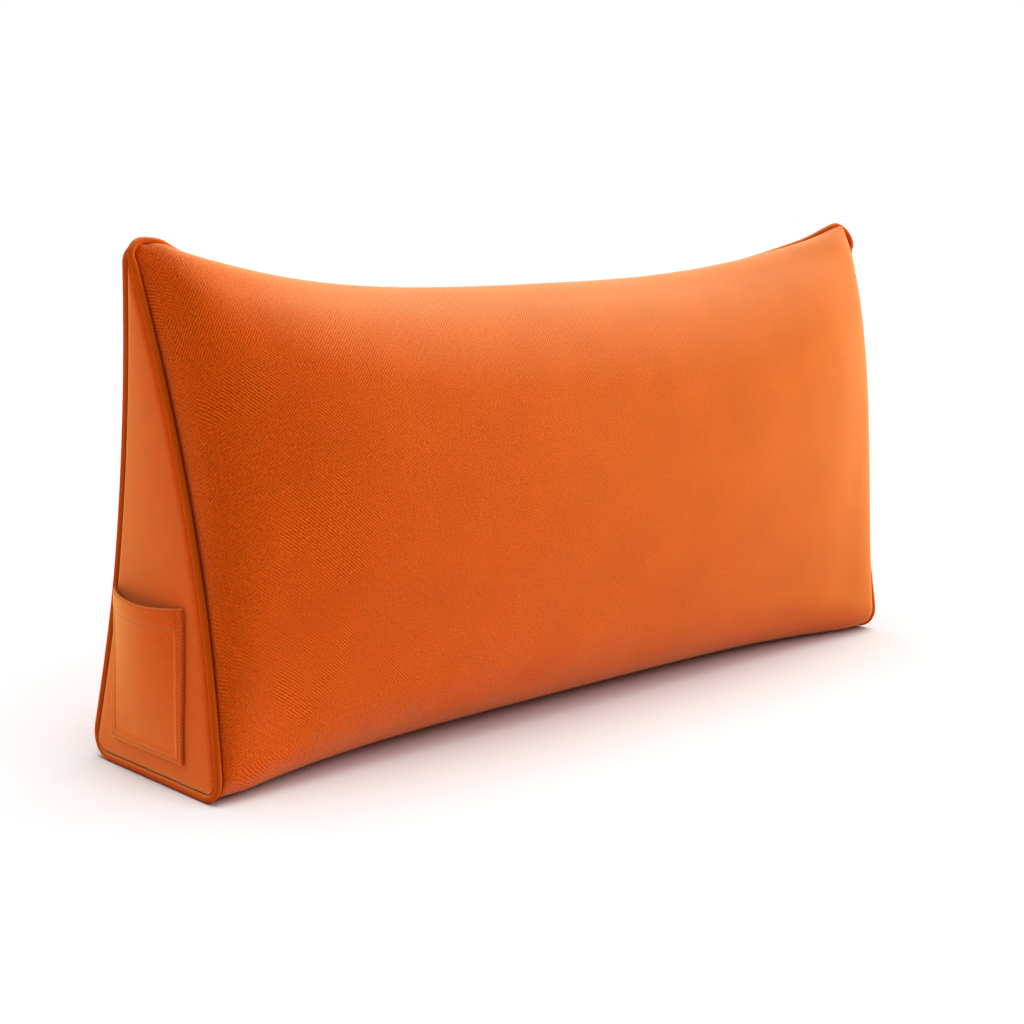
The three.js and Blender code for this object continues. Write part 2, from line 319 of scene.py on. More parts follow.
    def end_roll(self, u: float) -> float:
        """How far the filling swells past the piping beside an end seam."""
        from_end = self.length / 2 * (1 - abs(u))
        short = 1 - min(from_end / self.roll_width, 1)
        return self.at_end(self.roll, u) * math.sqrt(1 - short**2) * (1 - self.share_in(u, *self.roll_fade))

    def seam_shift(self, u: float) -> float:
        """How far the top seam is set back from a section's middle."""
        return self.seam_back * self.dip_share(u)

    def crown_height(self, offset: np.ndarray, u: float, inset: float) -> np.ndarray:
        """Height of a section's top at distances from its middle, drawn down beside the seam.

        Args:
            offset: distances from the section's middle, negative to the front.
            u: place along the cushion.
            inset: how far in from the middle of the piping.

        Returns:
            The heights.
        """
        top = self.top(u, inset)
        low = np.full(offset.shape, top * self.shoulder)
        high = np.full(offset.shape, top)
        for _ in range(self.halvings):
            middle = (low + high) / 2
            front, back = (self.half(middle, u, inset, face) for face in Face)
            inside = np.where(offset < 0, front, back) > np.abs(offset)
            low, high = np.where(inside, middle, low), np.where(inside, high, middle)
        pinch = self.pinch * self.share_in(u, *self.pinch_from)
        return (low + high) / 2 - pinch * np.exp(-(((offset - self.seam_shift(u)) / self.pinch_width) ** 2))

    def seat(self, u: float, inset: float) -> tuple[np.ndarray, np.ndarray, np.ndarray]:
        """The top seam of a section.

        Args:
            u: place along the cushion.
            inset: how far in from the middle of the piping.

        Returns:
            The seam's point, the surface's normal and the direction along it, each as (offset, height).
        """
        shift, reach = self.seam_shift(u), self.tilt_reach
        before, at, after = self.crown_height(np.array([shift - reach, shift, shift + reach]), u, inset)
        tilt = math.atan2(before - after, 2 * reach)
        return (
            np.array([shift, at]),
            np.array([math.sin(tilt), math.cos(tilt)]),
            np.array([math.cos(tilt), -math.sin(tilt)]),
        )


@dataclass(frozen=True)
class WrapRows:
    """How many rows of mesh each stretch of a section has, and how many steps the crown is first drawn in."""

    crown: int = 26
    flank: int = 36
    foot: int = 12
    base: int = 16
    drawn: int = 240

    @property
    def half(self) -> int:
        """Rows from the top seam to the base on one face."""
        return 1 + self.crown + self.flank + self.foot

    @property
    def all(self) -> int:
        """Rows of a whole section."""
        return 2 * self.half + self.base


def crown_rows(form: WedgeForm, u: float, inset: float, face: Face, rows: WrapRows) -> np.ndarray:
    """Rows of (offset, height) from beside the top seam to the shoulder of one face.

    Args:
        form: the cushion's form.
        u: place along the cushion.
        inset: how far in from the middle of the piping.
        face: the front or the back.
        rows: how many rows each stretch has.

    Returns:
        The rows, without the shoulder itself.
    """
    sign = face.value
    shoulder_z = form.top(u, inset) * form.shoulder
    shoulder = float(form.half(np.float64(shoulder_z), u, inset, face))
    lip = form.seam_shift(u) + sign * form.lip_half
    start = math.acos(max(-1.0, min(1.0, sign * lip / shoulder)))
    offset = sign * shoulder * np.cos(np.linspace(start, 0, rows.drawn))
    height = form.crown_height(offset, u, inset)
    height[-1] = shoulder_z
    return respaced(np.stack([offset, height], axis=1), rows.crown + 1)[:-1]


def section(form: WedgeForm, u: float, inset: float, rows: WrapRows) -> np.ndarray:
    """One closed section: from the top seam down the front, across the base and up the back.

    Args:
        form: the cushion's form.
        u: place along the cushion.
        inset: how far in from the middle of the piping.
        rows: how many rows each stretch has.

    Returns:
        Rows of (offset from the middle, height).
    """
    top = form.top(u, inset)
    base = mix(form.cord_height + inset, 0, form.share_in(u, *form.base_lift))
    point, normal, along = form.seat(u, inset)
    roll_share = 1 - abs(u) ** form.roll_along

    def face_rows(face: Face) -> np.ndarray:
        """The rows of one face, from the top seam to the base."""
        radius = mix(form.corner(u, face) - inset, form.foot_roll, roll_share)
        dip_shade = normal * form.groove_depth * form.groove_share(u)
        groove = point - dip_shade + along * face.value * form.groove_half
        z = np.linspace(top * form.shoulder, base + radius, rows.flank, endpoint=False)
        flank = np.stack([face.value * form.half(z, u, inset, face), z], axis=1)
        turn = np.linspace(0, math.pi / 2, rows.foot)
        foot_z = base + radius * (1 - np.sin(turn))
        foot = face.value * (form.half(foot_z, u, inset, face) - radius * (1 - np.cos(turn)))
        crown = crown_rows(form, u, inset, face, rows)
        return np.concatenate([groove[None], crown, flank, np.stack([foot, foot_z], axis=1)])

    front, back = face_rows(Face.FRONT), face_rows(Face.BACK)
    across = np.linspace(0, 1, rows.base + 2)[1:-1, None]
    return np.concatenate([front, mix(front[-1], back[-1], across), back[::-1]])


@dataclass(frozen=True)
class EndDome:
    """The low dome of an end panel, in millimetres."""

    rise: float = 6
    shoulder: float = 2.8
    shoulder_width: float = 7
    power: float = 0.75
    foot: float = 90
    head: float = 455
    inset: float = 4.0
    over_ear: float = 4

    def high(self, form: WedgeForm, end: End) -> float:
        """Height of the panel's tip, between the cords that meet over the ear."""
        return form.top_z - form.ear(end.value) + self.over_ear

    def x(self, form: WedgeForm, y: np.ndarray, z: np.ndarray, end: End) -> np.ndarray:
        """How far the panel's outer face stands from the middle of the cushion.

        Args:
            form: the cushion's form.
            y: places across the panel.
            z: heights on the panel.
            end: the end that it closes.

        Returns:
            The distances, all positive.
        """
        half = np.maximum(form.seam_half(z) - self.inset, 1)
        across = np.clip((y - form.middle_y(z)) / half, -1, 1)
        low = form.cord_height + self.inset
        high = self.high(form, end)
        foot = np.clip((self.foot - z) / (self.foot - low), 0, 1)
        head = np.clip((z - self.head) / (high - self.head), 0, 1)
        rise = self.rise * (half / (form.depth / 2)) ** self.power
        dome = rise * (1 - across**2) * (1 - foot**2) * (1 - head**2)
        edge = np.minimum(np.minimum(half * (1 - np.abs(across)), z - low), high - z)
        short = 1 - np.clip(edge / self.shoulder_width, 0, 1)
        return form.end_x(z, end.value) + dome + self.shoulder * np.sqrt(1 - short**2)


def make_mesh(
    name: str,
    points: np.ndarray,
    faces: Sequence[Sequence[int]],
    place: np.ndarray,
    crease_shade: np.ndarray | None = None,
) -> Piece:
    """Makes a smooth-shaded mesh object.

    Args:
        name: the piece's name.
        points: vertices in millimetres, one a row.
        faces: vertex numbers of each face.
        place: each vertex's place on its flat cloth, in millimetres, kept for the weave.
        crease_shade: how much painted shade each vertex takes, in a seam or a hollow, from 0 to 1.

    Returns:
        The object.
    """
    mesh = bpy.data.meshes.new(name)
    mesh.from_pydata((points * MM).tolist(), [], [list(map(int, f)) for f in faces])
    mesh.polygons.foreach_set("use_smooth", np.ones(len(mesh.polygons), bool))
    flat = np.zeros((len(points), 3), np.float32)
    flat[:, : place.shape[1]] = place * MM
    mesh.attributes.new(CLOTH_PLACE, "FLOAT_VECTOR", "POINT").data.foreach_set("vector", flat.ravel())
    deep = np.zeros(len(points)) if crease_shade is None else crease_shade
    mesh.attributes.new(CREASE_SHADE, "FLOAT", "POINT").data.foreach_set("value", deep.astype(np.float32).ravel())
    mesh.update()
    made = bpy.data.objects.new(name, mesh)
    bpy.context.scene.collection.objects.link(made)
    return made


def grid_faces(rows: int, columns: int, closed: bool = False, start: int = 0) -> list[tuple[int, ...]]:
    """Quads of a grid whose points are numbered row by row.

    Args:
        rows: how many rows of points.
        columns: how many points in each.
        closed: joins each row's last point to its first.
        start: the number of the first point.

    Returns:
        The quads, in one turning direction.
    """
    quads = []
    for r in range(start, start + (rows - 1) * columns, columns):
        for c in range(columns if closed else columns - 1):
            after = (c + 1) % columns
            quads.append((r + c, r + after, r + columns + after, r + columns + c))
    return quads


def closed_sheet(rows: int, columns: int, turned: bool) -> list[tuple[int, ...]]:
    """Faces of a sheet with an outer side, an inner side numbered after it, and the edge between them.

    Args:
        rows: how many rows of points each side has.
        columns: how many points in each.
        turned: turns the faces round.

    Returns:
        The faces.
    """
    count, last = rows * columns, (rows - 1) * columns
    sheet = grid_faces(rows, columns)
    back = [q[::-1] for q in sheet]
    outer, inner = (back, sheet) if turned else (sheet, back)
    border = (
        list(range(columns))
        + [r * columns + columns - 1 for r in range(1, rows)]
        + list(range(last + columns - 2, last - 1, -1))
        + [r * columns for r in range(rows - 2, 0, -1)]
    )
    edge = [(a, b) if turned else (b, a) for a, b in zip(border, border[1:] + border[:1])]
    faces = outer + [tuple(i + count for i in q) for q in inner]
    return faces + [(a, b, b + count, a + count) for a, b in edge]


def zipped(start: int, size: int, flip: bool) -> list[tuple[int, ...]]:
    """Closes a ring by joining the points of its first half to those level with them on its second.

    Args:
        start: the ring's first point.
        size: how many points it has, an even number.
        flip: turns the faces round.

    Returns:
        The quads.
    """
    last = start + size - 1
    quads = [(start + i, start + i + 1, last - i - 1, last - i) for i in range(size // 2 - 1)]
    return [q[::-1] for q in quads] if flip else quads


def coordinates(mesh: bpy.types.Mesh) -> np.ndarray:
    """A mesh's vertices in millimetres, one a row."""
    found = np.zeros(len(mesh.vertices) * 3)
    mesh.vertices.foreach_get("co", found)
    return found.reshape(-1, 3) / MM


def set_coordinates(mesh: bpy.types.Mesh, points: np.ndarray) -> None:
    """Moves a mesh's vertices to points in millimetres."""
    mesh.vertices.foreach_set("co", (points * MM).ravel())
    mesh.update()


def vertex_normals(mesh: bpy.types.Mesh) -> np.ndarray:
    """A mesh's vertex normals, one a row."""
    found = np.zeros(len(mesh.vertices) * 3, np.float32)
    mesh.vertex_normals.foreach_get("vector", found)
    return found.reshape(-1, 3).astype(float)


def subdivide(piece: Piece) -> None:
    """Adds one level of subdivision to a piece."""
    modifier = piece.modifiers.new("fine", "SUBSURF")
    modifier.levels = modifier.render_levels = 1


def add_node(
    tree: bpy.types.NodeTree, kind: str, inputs: dict[Any, Any] | None = None, **settings: Any
) -> bpy.types.Node:
    """Adds a node with its settings and links.

    A mix node takes its share at input 0, numbers at 2 and 3, and colours at 6 and 7, which come out at 2.

    Args:
        tree: the tree that it goes in.
        kind: Blender's name for the node.
        inputs: for each input's name or number, its value, or the output that feeds it.
        settings: the node's own properties.

    Returns:
        The node.
    """
    node = tree.nodes.new(kind)
    for name, value in settings.items():
        setattr(node, name, value)
    for key, value in (inputs or {}).items():
        if isinstance(value, Socket):
            tree.links.new(value, node.inputs[key])
        else:
            node.inputs[key].default_value = value
    return node


def bands(pitch: float) -> float:
    """The scale that sets the bands of a wave texture, 2 pi / 20 apart at 1, a pitch in millimetres apart."""
    return 2 * math.pi / 20 / (pitch * MM)


def grains(size: float) -> float:
    """The scale that makes the grains of a noise texture a size in millimetres across."""
    return 1 / (size * MM)


def blank_material(name: str) -> tuple[bpy.types.Material, AddNode]:
    """Makes a material with an empty tree.

    Args:
        name: the material's name.

    Returns:
        The material, and what adds a node to it.
    """
    made = bpy.data.materials.new(name)
    made.use_nodes = True
    made.node_tree.nodes.clear()
    return made, partial(add_node, made.node_tree)


@dataclass(frozen=True)
class ShortPileVelvet:
    """Polyester velvet, woven with a short cut pile and embossed with fine diagonal ribs.

    The eye sees a matt, deep colour where the pile points at it and a pale bloom where it looks across the
    pile. The crown's colour is painted paler, a painted highlight where the light falls from above, and the
    foot that turns under is painted deeper, as painted shade. Towards the right end the colour is painted
    yellower, as painted light from the right, and the creases beside the piping are painted darker, as
    painted shade. Ribs of the real pitch break the colour up close. Sizes are in millimetres, and a tuft's
    is a share of the ribs' pitch.
    """

    name: str
    pile: str = "d94f02"
    # The colour towards the right end, painted yellower as painted light from the right
    right_lit_tone: str = "cb6118"
    # The crown colour is a painted highlight and the under colour is painted shade, chosen by which way the
    # surface faces
    crown: str = "d8703a"
    under: str = "c23e00"
    # Painted shade in the creases beside the piping and inside the pocket
    crease_shade: str = "a02c00"
    bloom: str = "fffbbc"
    sheen: float = 0.21
    sheen_roughness: float = 0.5
    roughness: float = 0.95
    ior: float = 1.45
    specular: float = 0.05
    rib_pitch: float = 2.45
    rib_depth: float = 0.9
    rib_contrast: float = 0.5
    rib_span: tuple[float, float] = (0.2, 0.8)
    rib_turn: float = -45
    rib_wander: float = 2.0
    rib_detail: float = 3.0
    rib_least: float = 0.14
    rib_level: float = 0.5
    fade: tuple[float, float] = (-500, 400)
    tuft_size: float = 0.55
    tuft_stretch: tuple[float, float, float] = (1, 0.45, 1)
    tuft_share: float = 0.42
    tuft_detail: float = 1.0
    patch_size: float = 90
    patch_detail: float = 4.0
    patch_edge: tuple[float, float] = (0.46, 0.58)
    patch_share: tuple[float, float] = (0.12, 0.85)
    grain_size: float = 1.4
    grain_share: float = 0.25
    grain_detail: float = 2.0
    noise_span: tuple[float, float] = (0.3, 0.7)
    nap_size: float = 70
    nap_contrast: float = 0.05
    nap_detail: float = 5.0
    # Ranges of the normal's upward part over which the painted shade of the foot and the painted highlight of
    # the crown set in
    turned_under: tuple[float, float] = (-0.75, 0.0)
    turned_up: tuple[float, float] = (0.4, 0.95)
    brushed_flat: tuple[float, float] = (0.2, 0.8)
    brushed_depth: float = 0.2
    stitch_pitch: float = 2.2
    stitch_least: float = 0.55

    def ribs(self, node: AddNode, place: Socket) -> Socket:
        """Adds the height of the pressed ribs, from 0 to 1.

        Args:
            node: what adds a node to the material.
            place: the place on the cloth.

        Returns:
            The height.
        """
        sets = []
        for angle in (self.rib_turn, self.rib_turn + 90):
            turn = {"Vector": place, "Angle": math.radians(angle)}
            turned = node("ShaderNodeVectorRotate", turn, rotation_type="Z_AXIS").outputs["Vector"]
            wave = {"Vector": turned, "Scale": bands(self.rib_pitch), "Distortion": self.rib_wander}
            wave |= {"Detail": self.rib_detail, "Detail Scale": self.rib_detail}
            waves = node("ShaderNodeTexWave", wave, bands_direction="X").outputs["Fac"]
            # Tufts that lie along the ribs break them into short dashes
            drawn_out = {0: turned, 1: self.tuft_stretch}
            drawn_out = node("ShaderNodeVectorMath", drawn_out, operation="MULTIPLY").outputs[0]
            scale = grains(self.tuft_size * self.rib_pitch)
            tuft = {"Vector": drawn_out, "Scale": scale, "Detail": self.tuft_detail}
            tufts = node("ShaderNodeTexNoise", tuft).outputs["Fac"]
            spread = {"Value": tufts, "From Min": self.noise_span[0], "From Max": self.noise_span[1]}
            tufts = node("ShaderNodeMapRange", spread).outputs[0]
            both = {0: self.tuft_share, 2: waves, 3: tufts}
            sets.append(node("ShaderNodeMix", both, data_type="FLOAT").outputs[0])
        # Broad patches of one set and then of the other, ragged where they meet, as in a broken twill
        patch = {"Vector": place, "Scale": grains(self.patch_size), "Detail": self.patch_detail}
        patches = node("ShaderNodeTexNoise", patch).outputs["Fac"]
        edges = {"Value": patches, "From Min": self.patch_edge[0], "From Max": self.patch_edge[1]}
        edges |= {"To Min": self.patch_share[0], "To Max": self.patch_share[1]}
        crossed = node("ShaderNodeMapRange", edges).outputs[0]
        rib = node("ShaderNodeMix", {0: crossed, 2: sets[0], 3: sets[1]}, data_type="FLOAT").outputs[0]
        # Single tufts are under half a millimetre, too fine to show, so the grain is drawn as clumps of them
        fine = {"Vector": place, "Scale": grains(self.grain_size), "Detail": self.grain_detail}
        grain = node("ShaderNodeTexNoise", fine).outputs["Fac"]
        return node("ShaderNodeMix", {0: self.grain_share, 2: rib, 3: grain}, data_type="FLOAT").outputs[0]

    def tone_with_painted_light(self, node: AddNode, lit_right_share: Socket, upward: Socket) -> Socket:
        """Adds the pile's colour with painted light: paler on the crown, deeper on the foot, yellower to the
        right.

        Args:
            node: what adds a node to the material.
            lit_right_share: how much of the painted light from the right the colour takes, from 0 to 1.
            upward: the upward part of the surface's normal.

        Returns:
            The colour.
        """
        # The foot that turns under takes the under colour as painted shade, and the up-facing crown takes the
        # crown colour as a painted highlight
        shares = []
        for low, high in (self.turned_under, self.turned_up):
            turned = {"Value": upward, "From Min": low, "From Max": high}
            shares.append(node("ShaderNodeMapRange", turned).outputs[0])
        face = {0: lit_right_share, 6: linear(self.pile), 7: linear(self.right_lit_tone)}
        face = node("ShaderNodeMix", face, data_type="RGBA").outputs[2]
        lower = {0: shares[0], 6: linear(self.under), 7: face}
        lower = node("ShaderNodeMix", lower, data_type="RGBA").outputs[2]
        upper = {0: shares[1], 6: lower, 7: linear(self.crown)}
        return node("ShaderNodeMix", upper, data_type="RGBA").outputs[2]

    def broken(self, node: AddNode, color: Socket, place: Socket, height: Socket) -> Socket:
        """Breaks a colour up with the ribs and the nap, and darkens it in the creases with painted shade.

        Args:
            node: what adds a node to the material.
            color: the colour.
            place: the place on the cloth.
            height: the height of the ribs.

        Returns:
            The colour that shows.
        """
        rib = {"Value": height, "From Min": self.rib_span[0], "From Max": self.rib_span[1]}
        rib |= {"To Min": 1 - self.rib_contrast, "To Max": 1 + self.rib_contrast}
        shown = node("ShaderNodeMapRange", rib).outputs[0]
        cloud = {"Vector": place, "Scale": grains(self.nap_size), "Detail": self.nap_detail}
        nap = {"Value": node("ShaderNodeTexNoise", cloud).outputs["Fac"]}
        nap |= {"From Min": self.noise_span[0], "From Max": self.noise_span[1]}
        nap |= {"To Min": 1 - self.nap_contrast, "To Max": 1 + self.nap_contrast}
        brushed = node("ShaderNodeMapRange", nap).outputs[0]
        both = node("ShaderNodeMath", {0: shown, 1: brushed}, operation="MULTIPLY").outputs[0]
        color = {0: 1.0, 6: color, 7: both}
        color = node("ShaderNodeMix", color, data_type="RGBA", blend_type="MULTIPLY").outputs[2]
        # The painted crease shade is darker at each stitch of the seam, where the needle draws the crease in
        needle = {"Vector": place, "Scale": bands(self.stitch_pitch)}
        pulled = node("ShaderNodeTexWave", needle, bands_direction="Y").outputs["Fac"]
        pulled = {"Value": pulled, "To Min": self.stitch_least, "To Max": 1.0}
        pulled = node("ShaderNodeMapRange", pulled).outputs[0]
        deep = node("ShaderNodeAttribute", attribute_name=CREASE_SHADE).outputs["Fac"]
        deep = node("ShaderNodeMath", {0: deep, 1: pulled}, operation="MULTIPLY").outputs[0]
        return node("ShaderNodeMix", {0: deep, 6: color, 7: linear(self.crease_shade)}, data_type="RGBA").outputs[2]

    def material(self) -> bpy.types.Material:
        """Builds the material.

        Returns:
            The material, which reads the cloth place and the painted crease shade that each piece keeps.
        """
        made, node = blank_material(self.name)
        place = node("ShaderNodeAttribute", attribute_name=CLOTH_PLACE).outputs["Vector"]
        # Towards the right end the colour is painted a little yellower, as painted light from the right, and
        # the ribs flatten; they stand out most at the left end
        along = node("ShaderNodeSeparateXYZ", {0: place}).outputs["X"]
        fade = {"Value": along, "From Min": self.fade[0] * MM, "From Max": self.fade[1] * MM}
        lit_right_share = node("ShaderNodeMapRange", fade).outputs[0]
        ribbed = {"Value": lit_right_share, "To Min": 1.0, "To Max": self.rib_least}
        ribbed = node("ShaderNodeMapRange", ribbed).outputs[0]
        height = {0: ribbed, 2: self.rib_level, 3: self.ribs(node, place)}
        height = node("ShaderNodeMix", height, data_type="FLOAT").outputs[0]
        normal = node("ShaderNodeNewGeometry").outputs["Normal"]
        upward = node("ShaderNodeSeparateXYZ", {0: normal}).outputs["Z"]
        color = self.broken(node, self.tone_with_painted_light(node, lit_right_share, upward), place, height)
        # The crown is brushed smoother than the faces
        relief = {"Value": upward, "From Min": self.brushed_flat[0], "From Max": self.brushed_flat[1]}
        relief |= {"To Min": self.rib_depth * MM, "To Max": self.brushed_depth * self.rib_depth * MM}
        depth = node("ShaderNodeMapRange", relief).outputs[0]
        bump = node("ShaderNodeBump", {"Strength": 1.0, "Distance": depth, "Height": height}).outputs[0]
        finish = {
            "Base Color": color,
            "Roughness": self.roughness,
            "IOR": self.ior,
            "Specular IOR Level": self.specular,
            "Sheen Weight": self.sheen,
            "Sheen Roughness": self.sheen_roughness,
            "Sheen Tint": linear(self.bloom),
            "Normal": bump,
        }
        shader = node("ShaderNodeBsdfPrincipled", finish)
        node("ShaderNodeOutputMaterial", {"Surface": shader.outputs["BSDF"]})
        return made


@dataclass(frozen=True)
class SpunThread:
    """Spun polyester sewing thread: a round, slightly fuzzy yarn, paler than the pile around it.

    Its two plies turn once in 0.8 mm, and the lines between them are painted a little darker, as painted
    shade. Each stitch is painted darker where it dips into the cloth, as painted shade.
    """

    name: str = "spun_polyester_thread"
    color: str = "ea8a42"
    shaded: str = "7c2c04"
    roughness: float = 0.75
    ply_turn: float = 0.8
    ply_least: float = 0.8

    def material(self) -> bpy.types.Material:
        """Builds the material.

        Returns:
            The material, which darkens each stitch where it dips into the cloth.
        """
        made, node = blank_material(self.name)
        place = node("ShaderNodeAttribute", attribute_name=CLOTH_PLACE).outputs["Vector"]
        # The lines between the plies are painted darker, as painted shade
        plies = node("ShaderNodeTexWave", {"Vector": place, "Scale": bands(self.ply_turn)}).outputs["Fac"]
        plies = {"Value": plies, "To Min": self.ply_least, "To Max": 1.0}
        plies = node("ShaderNodeMapRange", plies).outputs[0]
        dip_shade = node("ShaderNodeAttribute", attribute_name=CREASE_SHADE).outputs["Fac"]
        color = {0: dip_shade, 6: linear(self.color), 7: linear(self.shaded)}
        color = node("ShaderNodeMix", color, data_type="RGBA").outputs[2]
        color = {0: 1.0, 6: color, 7: plies}
        color = node("ShaderNodeMix", color, data_type="RGBA", blend_type="MULTIPLY").outputs[2]
        shader = node("ShaderNodeBsdfPrincipled", {"Base Color": color, "Roughness": self.roughness})
        node("ShaderNodeOutputMaterial", {"Surface": shader.outputs["BSDF"]})
        return made


@dataclass(frozen=True)
class StudioPaper:
    """Matt white background paper: it shows no gloss, and only its shadow tells where it lies."""

    name: str = "matt_background_paper"
    color: str = "f1f5f6"
    roughness: float = 0.95

    def material(self) -> bpy.types.Material:
        """Builds the material.

        Returns:
            The material.
        """
        made, node = blank_material(self.name)
        finish = {"Base Color": linear(self.color), "Roughness": self.roughness}
        shader = node("ShaderNodeBsdfPrincipled", finish)
        node("ShaderNodeOutputMaterial", {"Surface": shader.outputs["BSDF"]})
        return made


@dataclass(frozen=True)
class Inflation:
    """A short cloth simulation that lets the filling press the cover out against its seams."""

    frames: int = 18
    pressure: float = 4.0
    loose: float = -0.012
    start_in: float = 3.0
    most: float = 6.0
    evened: int = 14
    quality: int = 5
    mass: float = 0.3
    stretch_stiffness: float = 20
    shear_stiffness: float = 8
    bending_stiffness: float = 0.8

    def run(self, piece: Piece, held: np.ndarray, free: np.ndarray) -> None:
        """Simulates the piece and keeps how far it swells in its mesh.

        Args:
            piece: the filled piece.
            held: for each vertex, 1 where its seam or the floor holds it, down to 0 where it is free.
            free: the share of the swelling that each vertex keeps, as an array of (ring, row).
        """
        rest = coordinates(piece.data)
        normals = vertex_normals(piece.data)
        start = rest - normals * (self.start_in * (1 - held))[:, None]
        set_coordinates(piece.data, start)
        group = piece.vertex_groups.new(name="held")
        steps = np.round(held, 1)
        for step in np.unique(steps):
            group.add(np.flatnonzero(steps == step).tolist(), float(step), "REPLACE")
        cloth = piece.modifiers.new("inflate", "CLOTH")
        settings = cloth.settings
        settings.quality = self.quality
        settings.mass = self.mass
        settings.tension_stiffness = settings.compression_stiffness = self.stretch_stiffness
        settings.shear_stiffness = self.shear_stiffness
        settings.bending_stiffness = self.bending_stiffness
        settings.use_pressure = True
        settings.uniform_pressure_force = self.pressure
        settings.shrink_min = self.loose
        settings.vertex_group_mass = "held"
        settings.effector_weights.gravity = 0
        cloth.collision_settings.use_collision = False
        cloth.point_cache.frame_start = 1
        cloth.point_cache.frame_end = self.frames
        scene = bpy.context.scene
        scene.frame_start, scene.frame_end = 1, self.frames
        for frame in range(1, self.frames + 1):
            scene.frame_set(frame)
        graph = bpy.context.evaluated_depsgraph_get()
        blown = coordinates(piece.evaluated_get(graph).data)
        piece.modifiers.remove(cloth)
        piece.vertex_groups.remove(group)
        scene.frame_set(1)
        swell = np.clip(((blown - rest) * normals).sum(axis=1), -1, self.most).reshape(free.shape)
        # Dense foam under the cover evens out the small ripples of the simulated cloth
        for _ in range(self.evened):
            swell = evened(np.roll(swell, 1, axis=1), swell, np.roll(swell, -1, axis=1))
            swell[1:-1] = evened(swell[:-2], swell[1:-1], swell[2:])
        swell *= free
        set_coordinates(piece.data, rest + normals * swell.reshape(-1, 1))
        log.info("%s: swells by %.1f mm on average, %.1f mm at most", piece.name, swell.mean(), swell.max())


@dataclass(frozen=True)
class Fold:
    """A soft fold in the front of the cover, along a line from one (x, z) to another, in millimetres."""

    start: tuple[float, float]
    end: tuple[float, float]
    width: float
    height: float
    fade: tuple[float, float] = (-0.15, 0.3)
    trough: float = 0.45
    trough_width: float = 2.2

    def lift(self, x: np.ndarray, z: np.ndarray) -> np.ndarray:
        """How far the fold lifts the cloth at places on the front.

        Args:
            x: places along the cushion.
            z: heights.

        Returns:
            The lift, in millimetres, which is negative in a hollow.
        """
        a, b = np.array(self.start, float), np.array(self.end, float)
        line = b - a
        length = np.linalg.norm(line)
        along = ((x - a[0]) * line[0] + (z - a[1]) * line[1]) / length**2
        across = ((x - a[0]) * line[1] - (z - a[1]) * line[0]) / length
        ends = smooth(along, *self.fade) * smooth(1 - along, *self.fade)
        ridge, trough = (np.exp(-((across / (wide * self.width)) ** 2)) for wide in (1, self.trough_width))
        return self.height * ends * (ridge - self.trough * trough)


